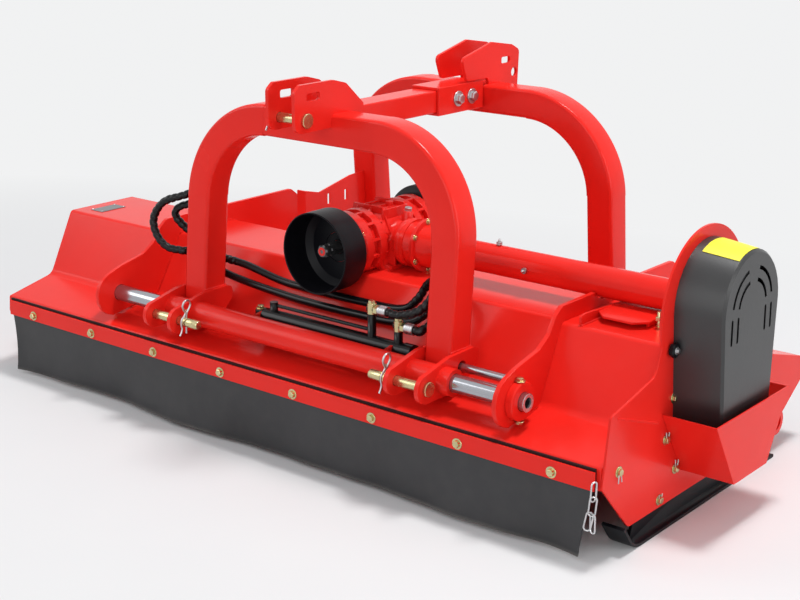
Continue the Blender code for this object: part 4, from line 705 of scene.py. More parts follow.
@dataclass
class Hydraulics:
    """The two spiral wrapped hoses of the side shift cylinder and the fittings at their ends."""

    port_x: tuple[float, float] = (0.268, 0.352)
    port_z: tuple[float, float] = (0.402, 0.374)
    cylinder_y: float = 0.127
    ferrule: float = 0.050
    radius: float = 0.0115
    end_x: tuple[float, float] = (-0.350, -0.385)
    end_y: float = 0.228
    end_z: float = 0.660
    pitch: float = 0.0180
    step: float = 0.0022
    wrapped: tuple[float, float] = (0.34, 0.46)

    def routes(self) -> dict[str, list[Point]]:
        """The points that each hose passes, counted from the front lip's middle.

        Returns:
            Each hose's name and its points, from the cylinder's port to the coupling.
        """
        y, end = self.cylinder_y, self.end_z
        xa, xb = (x + self.ferrule + 0.001 for x in self.port_x)
        za, zb = self.port_z
        route_a = [(xa, y, za), (xa + 0.035, y, za), (0.404, 0.146, 0.420), (0.418, 0.185, 0.458)]
        route_a += [(0.388, 0.222, 0.474), (0.345, 0.246, 0.448), (0.315, 0.244, 0.405)]
        route_a += [(0.270, 0.238, 0.376), (0.150, 0.238, 0.370), (-0.020, 0.238, 0.370)]
        route_a += [(-0.140, 0.238, 0.374), (-0.260, 0.226, 0.400)]
        route_a += [(-0.340, 0.207, 0.415), (-0.395, 0.200, 0.445), (-0.440, 0.180, 0.480)]
        route_a += [(-0.468, 0.165, 0.515), (-0.455, 0.165, 0.542), (-0.410, 0.186, 0.560)]
        route_a += [(-0.364, 0.216, 0.582), (-0.350, 0.228, 0.612), (self.end_x[0], self.end_y, end)]
        route_b = [(xb, y, zb), (xb + 0.015, y + 0.002, zb), (0.433, 0.168, 0.396), (0.436, 0.214, 0.436)]
        route_b += [(0.404, 0.252, 0.456), (0.366, 0.276, 0.448), (0.345, 0.225, 0.372)]
        route_b += [(0.280, 0.208, 0.350), (0.150, 0.206, 0.346), (-0.020, 0.206, 0.346)]
        route_b += [(-0.140, 0.206, 0.352), (-0.260, 0.207, 0.362)]
        route_b += [(-0.330, 0.208, 0.372), (-0.365, 0.205, 0.388), (-0.398, 0.178, 0.420)]
        route_b += [(-0.430, 0.146, 0.428), (-0.468, 0.128, 0.436), (-0.502, 0.122, 0.468)]
        route_b += [(-0.512, 0.124, 0.512), (-0.482, 0.134, 0.558), (-0.430, 0.160, 0.580)]
        route_b += [(-0.396, 0.206, 0.596), (-0.385, 0.228, 0.620), (self.end_x[1], self.end_y, end)]
        return {"hose_a": route_a, "hose_b": route_b}

    def hose(self, name: str, route: Sequence[Point]) -> None:
        """Args:
            name: The node that it replaces.
            route: The points that it passes.
        """
        path = smooth_path([place(*p) for p in route], self.step)
        length = sum((q - p).length for p, q in zip(path, path[1:]))

        def size(run: float, share: float) -> float:
            """The hose's radius at a place.

            Args:
                run: The distance run along it.
                share: The share of a turn round it.

            Returns:
                The radius.
            """
            wrap = min(1.0, max(0.0, max(self.wrapped[0] - run, run - length + self.wrapped[1]) / 0.02))
            phase = (run / self.pitch + share) % 1.0
            ridge = min(1.0, 3.4 * min(phase, 1.0 - phase)) ** 0.5
            lump = 0.04 * math.sin(run * 61.0 + 2.0 * math.sin(run * 23.0)) - 0.04
            return self.radius * (0.90 + wrap * (0.10 - 0.26 * (1.0 - ridge) + lump * ridge))

        bm = bmesh.new()
        sweep(bm, path, size, 16)
        piece = to_piece(name + "_wrapped", bm, Finishes.HOSE, "linkage", name, 60)
        tuple(path[0])
        [tuple(p) for p in path]
        LOG.info("%s is %.3f m long", name, length)

    def build(self) -> None:
        """Builds both hoses, their crimped ferrules and their collars at the couplings."""
        for name, route in self.routes().items():
            self.hose(name, route)
        bm, r, y = bmesh.new(), self.radius, self.cylinder_y
        crimps = [(0.0, r + 0.0012)]
        for a in (0.003 + k * 0.0055 for k in range(4)):
            crimps += [(a, r + 0.0022), (a + 0.0035, r + 0.0022), (a + 0.0045, r + 0.0013)]
        for x, z in zip(self.port_x, self.port_z):
            lathe(bm, [*crimps, (0.0262, r + 0.0020)], place(x + 0.024, y, z), RIGHT, 20)
        collar = [(0.0, r + 0.0012), (0.003, r + 0.0022), (0.020, r + 0.0022), (0.0225, r + 0.001)]
        for x in self.end_x:
            lathe(bm, collar, place(x, self.end_y, self.end_z - 0.022), UP, 20)
        to_piece("hose_fittings", bm, Finishes.STEEL, "linkage")
        self.elbows()

    def elbows(self) -> None:
        """Sets the plated banjo heads and nuts where the hoses meet the cylinder's black posts."""
        bm, y = bmesh.new(), self.cylinder_y
        for x, z in zip(self.port_x, self.port_z):
            lathe(bm, [(0.0, 0.0125), (0.011, 0.0125), (0.0125, 0.011)], place(x + 0.0115, y, z), RIGHT, 6)
            head = place(x, y, z + 0.004)
            lathe(bm, [(-0.016, 0.0118), (0.009, 0.0118), (0.011, 0.0095)], head, UP, 20)
            lathe(bm, [(0.010, 0.0092), (0.016, 0.0092), (0.017, 0.008)], head, UP, 6)
        eye = place(-0.1120, y, 0.2960)
        lathe(bm, [(0.032, 0.0125), (0.0345, 0.0125)], eye, UP, 20)
        lathe(bm, [(0.0345, 0.0098), (0.0410, 0.0098), (0.0420, 0.0085)], eye, UP, 6)
        to_piece("banjo_heads", bm, Finishes.ZINC, "linkage")
        bm = bmesh.new()
        lathe(bm, [(0.0, 0.0130), (0.0018, 0.0145), (0.030, 0.0145), (0.032, 0.0130)], eye)
        to_piece("cylinder_eye", bm, Finishes.GLOSS, "linkage")


# Flap


@dataclass
class Flap:
    """The rubber sheet that hangs from the housing's front edge."""

    half: float = 0.966
    flare: float = 0.026
    top: float = 0.168
    hem: float = 0.012
    thick: float = 0.0056
    middle: float = -0.0033
    columns: int = 260
    rows: int = 26
    clamp_half: float = 0.9985

    def sway(self, x: float, depth: float) -> float:
        """How far the sheet stands back at a place.

        Args:
            x: Distance along the flap.
            depth: From 0 at the clamp to 1 at the hem.

        Returns:
            The distance towards the rotor, in metres.
        """
        fold = 0.62 * math.sin(7.3 * x + 0.2) + 0.38 * math.sin(13.0 * x + 2.0)
        ripple = 0.0010 * math.sin(41.0 * x + 1.3 + 3.0 * depth) * depth
        curl = -0.016 * max(0.0, (abs(x) - 0.86) / 0.11) ** 2 * depth**2
        return (0.0135 - 0.0035 * x) * depth**1.4 * fold - 0.003 * depth + ripple + curl

    def wide(self, depth: float) -> float:
        """Half the sheet's width at a depth, its ends cut narrower towards the hem."""
        return self.half + self.flare * (1.0 - depth) ** 1.6

    def column(self, share: float) -> list[Vector]:
        """One section of the sheet across its thickness.

        Args:
            share: From -1 at its left end to 1 at its right end.

        Returns:
            The section's points: down the front, up the back and round the bead.
        """
        front, back = [], []
        for j in range(self.rows + 1):
            depth = j / self.rows
            x = share * self.wide(depth)
            z = self.top - depth * (self.top - self.hem)
            y = self.middle + self.sway(x, depth)
            thin = self.thick / 2 * (0.7 if j == self.rows else 1.0)
            front.append(place(x, y - thin, z))
            back.append(place(x, y + thin, z))
        r, x = self.thick / 2, share * self.wide(0.0)
        turns = [math.radians(a) for a in (45, 90, 135)]
        bead = [place(x, self.middle + r * math.cos(t), self.top + r * math.sin(t)) for t in turns]
        return front + back[::-1] + bead

    def build(self) -> None:
        """Builds the sheet with its bead and worn hem, and the edge clamped under the strip, tinted dark red
        as a painted shadow.
        """
        bm = bmesh.new()
        loft(bm, [self.column(2 * i / self.columns - 1) for i in range(self.columns + 1)])
        piece = to_piece("flap_sheet", bm, Finishes.RUBBER, "flap", "flap", 50)
        bm = bmesh.new()
        outline = [(-0.0063, 0.1713), (-0.0063, 0.2194), (-0.0052, 0.2200), (-0.0014, 0.2200)]
        outline += [(-0.0003, 0.2194), (-0.0003, 0.1713)]
        slab(bm, [(-self.clamp_half, y, z) for y, z in outline], (2 * self.clamp_half, 0, 0))
        # The clamped edge takes the dark red finish that paints the shadow under the strip.
        to_piece("flap_edge", bm, Finishes.SHADOW_BAND, "housing", "flap_band")


# Fasteners, welds and clips


@dataclass
class Hardware:
    """Everything that bolts, pins and welds the machine together."""

    # The bolts of the right plate that have split pins, with the pins' lean.
    pinned: tuple[Point, ...] = (
        (0.062, 0.197, -1.0),
        (0.264, 0.209, 0.8),
        (0.312, 0.124, 1.0),
        (0.244, 0.070, 0.6),
    )
    # The bolts that both side plates have at the roller arm.
    arm_bolts: tuple[Point, ...] = ((0.784, 0.190), (0.726, 0.202))
    skid_bolts: tuple[Point, ...] = ((0.215, 0.086), (0.630, 0.086))
    knob_y: float = 0.268
    knob_z: float = 0.420
    # The distance between a weld's ripples, and the radii of the clips' and split pins' wire.
    ripple: float = 0.0042
    clip_wire: float = 0.0028
    split_wire: float = 0.0014

    def __post_init__(self) -> None:
        """Builds the tree and the prototypes."""
        self.repeat = Repeat()
        shapes = Prototypes()
        self.bolt, self.bead, self.link = shapes.bolt(), shapes.bead(), shapes.link()

    @staticmethod
    def on(points: Iterable[Point], look: Point, lean: Point) -> list[Spot]:
        """Places whose copies all look one way."""
        return [(place(*p), look, lean) for p in points]

    @staticmethod
    def circle(centre: Vector, look: Point, radius: float, count: int, start: float) -> list[Spot]:
        """Places on a bolt circle.

        Args:
            centre: The circle's middle.
            look: Where the heads look, along X or Y.
            radius: The circle's radius.
            count: How many places.
            start: The first place's angle in degrees.

        Returns:
            The places, each with its two directions.
        """
        out = []
        for k in range(count):
            t = math.radians(start) + math.tau * k / count
            arm = Vector((0, math.cos(t), math.sin(t)) if look[0] else (math.cos(t), 0, math.sin(t)))
            out.append((centre + arm * radius, look, tuple(arm)))
        return out

    def fasten(self) -> None:
        """Sets every bolt, nut, screw and rivet."""
        strip = []
        for i in range(8):
            spot = place(-0.890 + 1.7815 * i / 7, STRIP_Y + 0.0001, 0.187)
            strip.append((spot, FRONT, (1, 0, 0.3 * (i % 3))))
        cheek = [(OUTER_X, y, z) for y, z, _ in self.pinned]
        cheek = self.on([*cheek, (OUTER_X, 0.291, 0.300)], RIGHT, (0, 1, 0.4))
        shared = [*self.arm_bolts, self.skid_bolts[1]]
        cheek += self.on([(OUTER_X, y, z) for y, z in shared], RIGHT, (0, 1, 0.1))
        far = [*self.arm_bolts, *self.skid_bolts, (0.064, 0.193)]
        left = self.on([(-OUTER_X, y, z) for y, z in far], LEFT, (0, 1, 0.2))
        left += self.circle(place(-OUTER_X - 0.0283, GEAR_Y, ROTOR_Z), LEFT, 0.041, 4, 45)
        gear = place(GEAR_X, GEAR_Y, GEAR_Z)
        covers, rings, collars = [], [], []
        for s in (-1, 1):
            covers += self.circle(gear + Vector((0, s * 0.146, 0)), (0, s, 0), 0.0775, 6, 30)
            rings += self.circle(gear + Vector((0, s * 0.066, 0)), (0, -s, 0), 0.080, 8, 22.5)
        boss = self.circle(gear + Vector((0.1702, 0, 0)), RIGHT, 0.0640, 6, 151)
        clamp = self.on([(0.1264, y, 0.842) for y in (0.71994, 0.65794)], RIGHT, (0, 1, 0.3))
        nuts = self.on([(0.0336, y, 0.842) for y in (0.71994, 0.65794)], LEFT, (0, 1, 0.3))
        for s in (-1, 1):
            heads = [(x, y, BAR_Z + s * 0.0465) for x in (0.7565, -0.6095) for y in BARS_Y]
            collars += self.on(heads, (0, 0, s), RIGHT)
        rivets = self.on([(x, y, 0.4376) for x in (-0.966, -0.924) for y in (0.284, 0.368)], UP, RIGHT)
        for name, places, size, finish, body in (
            ("strip_bolts", strip, 0.0097, Finishes.ZINC, "housing"),
            ("right_plate_bolts", cheek, 0.0094, Finishes.ZINC, "housing"),
            ("left_plate_bolts", left, 0.0088, Finishes.ZINC, "housing"),
            ("cover_bolts", covers, 0.0070, Finishes.ZINC, "housing"),
            ("boss_bolts", boss, 0.0062, Finishes.ZINC, "housing"),
            ("ring_bolts", rings, 0.0050, Finishes.CAST_RED, "housing"),
            ("clamp_bolts", clamp, 0.0152, Finishes.STEEL, "linkage"),
            ("clamp_nuts", nuts, 0.0145, Finishes.STEEL, "linkage"),
            ("collar_screws", collars, 0.0092, Finishes.ZINC, "housing"),
            ("plate_rivets", rivets, 0.0022, Finishes.BRIGHT, "housing"),
        ):
            self.repeat.make(name, self.bolt, places, size, finish, body)

    def seams(self, name: str, runs: Sequence[Sequence[Point]], size: float, body: str) -> None:
        """Lays weld seams, their ripples square to their run.

        Args:
            name: The piece's name.
            runs: The corner points of each seam.
            size: The ripples' radius.
            body: The body that the piece rides on.
        """
        places = []
        for run in runs:
            path = [place(*p) for p in run]
            for one, two in zip(path, path[1:]):
                span = two - one
                count = max(2, round(span.length / self.ripple))
                way = tuple(span.normalized())
                places += [(one.lerp(two, k / count), way, (0.3, 0.2, 1)) for k in range(count)]
        self.repeat.make(name, self.bead, places, size, Finishes.RED, body, 0.25)

    def weld(self) -> None:
        """Welds the joints that a welder would close."""
        deck, runs = 0.4265, []
        for x in (-0.588, -0.600, 0.735, 0.747):
            runs.append([(x, 0.290, deck), (x, 0.498, deck)])
            runs.append([(x, 0.100, 0.2452), (x, 0.190, 0.2650), (x, 0.286, 0.4190)])
            runs.append([(x, 0.504, 0.4240), (x, 0.780, 0.2800)])
        runs += [[(x, 0.2855, deck), (x, 0.4990, deck)] for x in (0.7530, -0.6060)]
        runs += [[(GEAR_X - 0.098, y, deck), (0.141, y, deck)] for y in (0.3545, 0.4855)]
        runs.append([(0.798, 0.246, 0.4366), (0.798, 0.432, 0.4366)])
        runs.append([(1.0156, 0.052, 0.3210), (1.0156, 0.226, 0.2590)])
        self.seams("housing_welds", runs, 0.0034, "housing")
        runs = []
        for leg in (-0.3325, 0.4925):
            for x in (leg - 0.0402, leg + 0.0402):
                runs.append([(x, 0.100, 0.3500), (x, 0.180, 0.3500)])
        for s in (-1, 1):
            x = 0.080 + s * 0.0383
            runs.append([(x - s * 0.0001, 0.138, 0.8665), (x, 0.216, 0.8665)])
            runs.append([(x, 0.781, 0.8665), (x, 0.856, 0.8665)])
        for y in (0.2215, 0.7735):
            runs.append([(0.043, y, 0.8450), (0.043, y, 0.8250)])
            runs.append([(0.117, y, 0.8250), (0.117, y, 0.8450)])
        self.seams("linkage_welds", runs, 0.0032, "linkage")

    def clip(self) -> None:
        """Bends the spring clips of the three hitch pins."""
        local = [(0.0, -0.030), (0.0, 0.0), (0.0, 0.024), (0.007, 0.036), (0.011, 0.048), (0.004, 0.059)]
        local += [(-0.009, 0.060), (-0.016, 0.049), (-0.012, 0.037), (-0.005, 0.028), (-0.008, 0.019)]
        local += [(-0.0165, 0.009), (-0.0172, -0.003), (-0.0145, -0.014), (-0.0175, -0.024), (-0.023, -0.033)]
        bm = bmesh.new()
        for x, y, z in ((-0.2562, PIN_Y, PIN_Z), (0.4202, PIN_Y, PIN_Z), (0.0157, 0.050, 0.862)):
            path = smooth_path([place(x + 0.12 * max(0.0, b), y + a, z + b) for a, b in local], 0.0016)
            sweep(bm, path, lambda run, share: self.clip_wire, 10)
        to_piece("pin_clips", bm, Finishes.STEEL, "linkage", smooth=60)

    def points(self) -> None:
        """Lengthens the two lower hitch pins past their clips, with chamfered ends."""
        bm = bmesh.new()
        for x, look in ((-0.2470, RIGHT), (0.4110, LEFT)):
            lathe(bm, [(0.0, 0.0124), (0.034, 0.0124), (0.038, 0.0098)], place(x, PIN_Y, PIN_Z), look, 32)
        to_piece("pin_points", bm, Finishes.ZINC, "linkage")

    def chain(self) -> None:
        """Hangs the short chain at the flap's right end."""
        y = STRIP_Y - 0.0045
        places = [
            (place(1.0025, y, 0.1735), (0.05, 0, 1), (0.3, 1, 0)),
            (place(1.0010, y, 0.1395), (0.10, 0, 1), (1, 0.5, 0)),
            (place(0.9920, y, 0.1030), (0.20, 0, 1), (1, 0.4, 0)),
            (place(1.0025, y, 0.1010), (-0.02, 0, 1), (1, -0.3, 0)),
        ]
        piece = self.repeat.make("chain_links", self.link, places, 0.0160, Finishes.BRIGHT, "housing")
        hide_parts("hook")

    def splits(self) -> None:
        """Bends the split pins that hold the bolts of the right plate."""
        bm = bmesh.new()
        for y, z, turn in self.pinned:
            for spread in (-0.007, 0.007):
                reach = [(0.0035, spread * 0.3, 0.0), (0.0045, spread * 0.8, 0.012 * turn)]
                reach.append((0.0048, spread, 0.024 * turn))
                path = smooth_path([place(OUTER_X + a, y + b, z + c) for a, b, c in reach], 0.002)
                sweep(bm, path, lambda run, share: self.split_wire, 6)
        to_piece("split_pins", bm, Finishes.BRIGHT, "housing", smooth=60)

    def rings(self) -> None:
        """Rims the open ends of the slide bars with bare steel."""
        bm = bmesh.new()
        rim = [(-0.004, 0.0128), (0.0004, 0.0128), (0.0008, 0.0135), (0.0008, 0.0208), (-0.0002, 0.0218)]
        for y in BARS_Y:
            for x, look in ((0.7788, RIGHT), (-0.6318, LEFT)):
                lathe(bm, [*rim, (-0.004, 0.0218)], place(x, y, BAR_Z), look, 40, closed=True)
        to_piece("bar_end_rims", bm, Finishes.BRIGHT, "housing")

    def shaft(self) -> None:
        """Cuts the six splines of the drive shaft's ends, with their locking grooves and painted tips."""
        crest, root, body, sides = 0.0172, 0.0147, 0.0174, 72
        half = [(0.225, 0.0132), (0.2215, crest), (0.2115, crest), (0.2095, 0.0149), (0.2035, 0.0149)]
        half += [(0.2015, crest), (0.158, crest), (0.156, body)]
        rows = []
        for y, limit in [(-a, b) for a, b in half] + half[::-1]:
            row = []
            for k in range(sides):
                phase = k % 12
                radius = min(limit, crest if phase < 6 else root) if limit < body else limit
                flank = 0.35 if phase in (0, 6) else -0.35 if phase in (5, 11) else 0
                t = math.tau * (k + flank) / sides
                row.append(place(GEAR_X + radius * math.cos(t), GEAR_Y + y, GEAR_Z + radius * math.sin(t)))
            rows.append(row)
        bm, tips, seals = bmesh.new(), bmesh.new(), bmesh.new()
        loft(bm, rows)
        to_piece("splined_shaft", bm, Finishes.FORGED, "pto", "pto_shaft", 32)
        tip = [(-0.002, 0.0050), (0.0002, 0.0050), (0.0002, 0.0112), (-0.002, 0.0118)]
        lip = [(-0.003, 0.0182), (0.0, 0.0182), (0.0006, 0.0200), (0.0006, 0.0385), (-0.003, 0.0390)]
        for s in (-1, 1):
            lathe(tips, tip, place(GEAR_X, GEAR_Y + s * 0.2252, GEAR_Z), (0, s, 0), 32, closed=True)
            lathe(seals, lip, place(GEAR_X, GEAR_Y + s * 0.1615, GEAR_Z), (0, s, 0), 48, closed=True)
        to_piece("painted_tips", tips, Finishes.CAST_RED, "pto")
        to_piece("shaft_seals", seals, Finishes.GUARD, "housing")

    def stop(self) -> None:
        """Folds the belt stop's shelf, upright and webs, with its upright bolt."""
        bm = bmesh.new()
        x, far, front, back, corner = 0.794, 0.930, 0.290, 0.436, 0.030
        outline = [(x, front + corner), (x + corner, front), (far - corner, front), (far, front + corner)]
        slab(bm, [(a, b, 0.4485) for a, b in [*outline, (far, back), (x, back)]], (0, 0, 0.006))
        upright = ((0.244, 0.4365), (0.436, 0.4365), (0.436, 0.452), (0.262, 0.462), (0.244, 0.458))
        slab(bm, [(0.790, a, b) for a, b in upright], (0.006, 0, 0))
        web = ((0.330, 0.4365), (0.420, 0.4365), (0.420, 0.450), (0.330, 0.450))
        slab(bm, [(0.915, a, b) for a, b in web], (0.007, 0, 0))
        to_piece("belt_stop", bm, Finishes.RED, "housing", "tension_bracket", 50, 0.0010)
        bm, foot = bmesh.new(), place(0.944, 0.340, 0.4420)
        stem = [(-0.007, 0.0085), (0.0, 0.0095), (0.0, 0.0062), (0.032, 0.0062), (0.034, 0.0050)]
        lathe(bm, stem, foot, UP, 16)
        lathe(bm, [(0.014, 0.0100), (0.022, 0.0100), (0.023, 0.0088)], foot, UP, 6)
        to_piece("stop_bolt", bm, Finishes.ZINC, "housing", smooth=32)

    def knob(self) -> None:
        """Screws the lobed hand knob on the right plate, with its bright bolt."""
        bm, foot, sides = bmesh.new(), place(OUTER_X, self.knob_y, self.knob_z), 30
        frame = facing(foot, RIGHT)
        rows = []
        for height, size in ((0.003, 0.0135), (0.005, 0.0165), (0.013, 0.0165), (0.0155, 0.0135)):
            row = []
            for t in (math.tau * k / sides for k in range(sides)):
                radius = size * (1.0 + 0.13 * math.cos(5 * t))
                row.append(frame @ Vector((radius * math.cos(t), radius * math.sin(t), height)))
            rows.append(row)
        loft(bm, rows)
        lathe(bm, [(0.0, 0.009), (0.0032, 0.009)], foot, RIGHT, 20)
        to_piece("hand_knob", bm, Finishes.GUARD, "housing")
        bolt = self.on([(OUTER_X + 0.0153, self.knob_y, self.knob_z)], RIGHT, (0, 1, 0.3))
        self.repeat.make("knob_bolt", self.bolt, bolt, 0.0066, Finishes.STEEL, "housing")

    def build(self) -> None:
        """Builds all the hardware."""
        self.fasten()
        self.weld()
        self.clip()
        self.points()
        self.chain()
        self.knob()
        self.splits()
        self.rings()
        self.shaft()
        self.stop()


# Trim


@dataclass
class Trim:
    """The plain panel on the belt cover, the gearbox's ribs, the guards and what rounds the solids' bends."""

    cover_x: float = 1.0156
    cover_depth: float = 0.116
    cover_half: float = 0.146
    cover_draft: float = 0.012
    cover_z: float = 0.502
    guard: float = 0.107
    guard_wall: float = 0.004

    def panel(self) -> None:
        """Lays a plain yellow panel on the cover's rounded top."""
        section = []
        for x, lift in ((0.019, 0.0004), (0.108, 0.0004), (0.108, 0.0010), (0.019, 0.0010)):
            radius = self.cover_half - self.cover_draft * x / (self.cover_depth - 0.006) + lift
            section.append((self.cover_x + x, radius))
        bm = bmesh.new()
        arched(bm, section, (GEAR_Y, self.cover_z), 75, 117, 24)
        to_piece("plain_panel", bm, Finishes.YELLOW, "housing")

    def casting(self) -> None:
        """Casts the gearbox's ribs, lids and flange over its plain solid."""
        bm, x0, y0, z0, half = bmesh.new(), GEAR_X, GEAR_Y, GEAR_Z, 0.0036
        for s in (-1, 1):
            for t in (math.tau * (k + 0.5) / 12 for k in range(12)):
                c, d = math.cos(t), math.sin(t)
                for a, b, near, far in ((0.0925, 0.1175, 0.070, 0.0868), (0.060, 0.0665, 0.066, 0.0868)):
                    ends = ((near, half), (far, half), (far, -half), (near, -half))
                    rib = [(x0 + c * r - d * w, y0 + s * a, z0 + d * r + c * w) for r, w in ends]
                    slab(bm, rib, (0, s * (b - a), 0))
            ear = [(0, 0.0862), (0.0020, 0.0862), (0.0035, 0.0845)]
            lathe(bm, ear, place(x0, y0 + s * 0.1455, z0), (0, s, 0), 48)
        web = ((-0.060, 0.030), (-0.046, 0.092), (0.052, 0.092), (0.080, 0.030))
        for y in (y0 - 0.0465, y0 + 0.0415):
            slab(bm, [(x0 + a, y, z0 + b) for a, b in web], (0, 0.005, 0))
        rib = ((-0.060, 0.040), (-0.050, 0.086), (0.050, 0.086), (0.060, 0.040))
        for x in (x0 - 0.0335, x0 + 0.0105, x0 + 0.0545):
            slab(bm, [(x, y0 + a, z0 + b) for a, b in rib], (0.007, 0, 0))
        flange = [(0, 0.068), (0.0015, 0.0705), (0.009, 0.0705), (0.0105, 0.069)]
        lathe(bm, flange, place(0.2025, y0, z0), RIGHT, 48)
        lathe(bm, [(-0.002, 0.046), (0.004, 0.046), (0.0055, 0.044)], place(x0 - 0.098, y0, z0), LEFT, 36)
        lathe(bm, [(0, 0.0165), (0.026, 0.0135), (0.028, 0.012)], place(0.128, 0.436, 0.545), (0.15, 0, 1))
        to_piece("gearbox_ribs", bm, Finishes.CAST_RED, "housing", smooth=32)

    def glands(self) -> None:
        """Fits the bright plug and the grease nipples."""
        bm = bmesh.new()
        plug = [(0, 0.0105), (0.008, 0.0105), (0.0095, 0.009)]
        lathe(bm, plug, place(0.1322, 0.436, 0.5725), (0.15, 0, 1), 6)
        nipple = [(-0.004, 0.0075), (0.003, 0.0075), (0.003, 0.0035), (0.009, 0.0035), (0.011, 0.002)]
        lathe(bm, nipple, place(0.545, 0.376, GEAR_Z), FRONT, 12)
        lathe(bm, nipple, place(0.439, GEAR_Y, 0.538), UP, 12)
        to_piece("plug_and_nipples", bm, Finishes.STEEL, "housing")

    def rim(self) -> None:
        """Rounds the right plate's arched top over the solid's short flats."""
        bm = bmesh.new()
        section = ((1.0094, 0.1925), (1.0152, 0.1925), (1.0152, 0.1960), (1.0094, 0.1960))
        arched(bm, section, (GEAR_Y, 0.480), -32, 226, 120)
        to_piece("plate_rim", bm, Finishes.RED, "housing")

    def bends(self) -> None:
        """Rounds the bends of both arches over the solids' short flats."""
        left, right, radius, top, steps, corner = -0.3325, 0.4925, 0.230, 0.826, 30, 0.010
        section = []
        for sx, sy in ((1, 1), (-1, 1), (-1, -1), (1, -1)):
            for k in range(6):
                t = math.atan2(sy, sx) - math.pi / 4 + math.pi / 10 * k
                a = sx * 0.0303 + corner * math.cos(t) + (0.0011 if sx > 0 else 0.0)
                section.append((a, sy * 0.0303 + corner * math.sin(t)))
        bm = bmesh.new()
        for rear in (False, True):
            for mirror in (False, True):
                rows = []
                for t in (math.pi / 2 * i / steps for i in range(steps + 1)):
                    row = []
                    for a, b in section:
                        x = left + radius - (radius - a) * math.cos(t)
                        z = top - radius + (radius - a) * math.sin(t)
                        y = 0.140 + 0.080 * (z - 0.350) + b
                        row.append(place(left + right - x if mirror else x, 0.995 - y if rear else y, z))
                    rows.append(row)
                loft(bm, rows)
        to_piece("arch_bends", bm, Finishes.RED, "linkage", smooth=50)

    def cups(self) -> None:
        """Moulds the two drive shaft guards with rolled rims."""
        r, wall, mouth, floor, bore = self.guard, self.guard_wall, 0.2550, 0.1593, 0.0395
        profile = [(mouth - 0.001, r), (floor + 0.018, r), (floor + 0.013, r - 0.0012)]
        profile += [(floor + 0.004, r - 0.013), (floor, r - 0.020), (floor, bore), (floor + wall, bore)]
        profile += [(floor + wall, r - 0.022), (floor + 0.008, r - 0.017), (floor + 0.017, r - wall - 0.001)]
        profile += [(floor + 0.021, r - wall), (mouth - 0.0012, r - wall), (mouth, r - wall + 0.0012)]
        for name, look in (("front", FRONT), ("rear", (0, 1, 0))):
            bm = bmesh.new()
            lathe(bm, [*profile, (mouth, r - 0.001)], place(GEAR_X, GEAR_Y, GEAR_Z), look, 80, closed=True)
            to_piece(
                f"guard_cup_{name}", bm, Finishes.GUARD, "housing", f"pto_guard_{name}", 35
            )

    def build(self) -> None:
        """Builds the trim."""
        self.panel()
        self.casting()
        self.glands()
        self.cups()
        self.rim()
        self.bends()


# Carried-over solids


@dataclass(frozen=True)
class Skin:
    """How a rigid solid is redrawn from its own mesh: its edges' radius and how its bends are shaded."""

    edge: float = 0.0
    steps: int = 2
    smooth: float = 36.0
    flush: float | None = None

    def draw(self, name: str, node: bpy.types.Object, finish: Finishes) -> bpy.types.Object:
        """Merges a copy of the solid's loose triangles, breaks its edges and shades it.

        Args:
            name: The new piece's name.
            node: The CAD node, which stays as it is.
            finish: The finish that the piece takes.

        Returns:
            The piece, in the place that the node has.
        """
        bm = bmesh.new()
        bm.from_mesh(node.data)
        if self.flush is not None:
            for vert in bm.verts:
                vert.co.x = min(vert.co.x, self.flush)
        bmesh.ops.remove_doubles(bm, verts=bm.verts, dist=4e-6)
        bmesh.ops.dissolve_limit(bm, angle_limit=math.radians(0.8), verts=bm.verts, edges=bm.edges)
        bmesh.ops.recalc_face_normals(bm, faces=bm.faces)
        if self.edge:
            break_edges(bm, self.edge, 50, self.steps)
        mesh = bpy.data.meshes.new(name)
        bm.to_mesh(mesh)
        bm.free()
        shade(mesh, self.smooth)
        mesh.materials.append(finish.material())
        piece = linked(name, mesh)
        piece.modifiers.new("weighted", "WEIGHTED_NORMAL").keep_sharp = True
        shaded = evaluated(piece)
        piece.modifiers.clear()
        piece.data = shaded
        bpy.data.meshes.remove(mesh)
        shaded.name = name
        return piece


BY_SLOT = {
    "red_paint": Finishes.RED,
    "black_paint": Finishes.BLACK,
    "rubber": Finishes.RUBBER,
    "hose_rubber": Finishes.HOSE,
    "guard_plastic": Finishes.GUARD,
    "chrome": Finishes.CHROME,
    "steel": Finishes.STEEL,
    "yellow_zinc": Finishes.ZINC,
    "forged_steel": Finishes.FORGED,
}
SPECIAL = {
    "gearbox": Finishes.CAST_RED,
    "pto_shaft": Finishes.FORGED,
    "data_plate": Finishes.PLATE,
    "cylinder_barrel": Finishes.GLOSS,
    # The band's dark red is a painted shadow under the strip.
    "flap_band": Finishes.SHADOW_BAND,
    "belt_cover": Finishes.COVER,
    "skid_left": Finishes.GUARD,
    "skid_right": Finishes.GUARD,
}
SKINS = {
    ("arch_front", "arch_rear"): Skin(0.0016, 2, 52),
    ("top_beam",): Skin(0.0040, 3, 40),
    ("gearbox",): Skin(0.0022, 2, 40),
    ("tray",): Skin(0.0008, flush=1.1516 + ORIGIN.x),
    ("bar_bracket_left", "bar_bracket_right", "clamp_sleeve"): Skin(0.0016),
    ("side_plate_left", "side_plate_right", "skid_left", "skid_right", "counter_blade"): Skin(0.0012),
    ("guide_plate", "hose_holder"): Skin(0.0010),
    ("front_strip",): Skin(0.0008),
    ("data_plate",): Skin(0.0004),
}
# The nodes that another class's piece replaces.
REPLACED = ("hose_a", "hose_b", "flap", "flap_band", "hook", "pto_guard_front", "pto_guard_rear", "pto_shaft")
REPLACED += ("tension_bracket",)


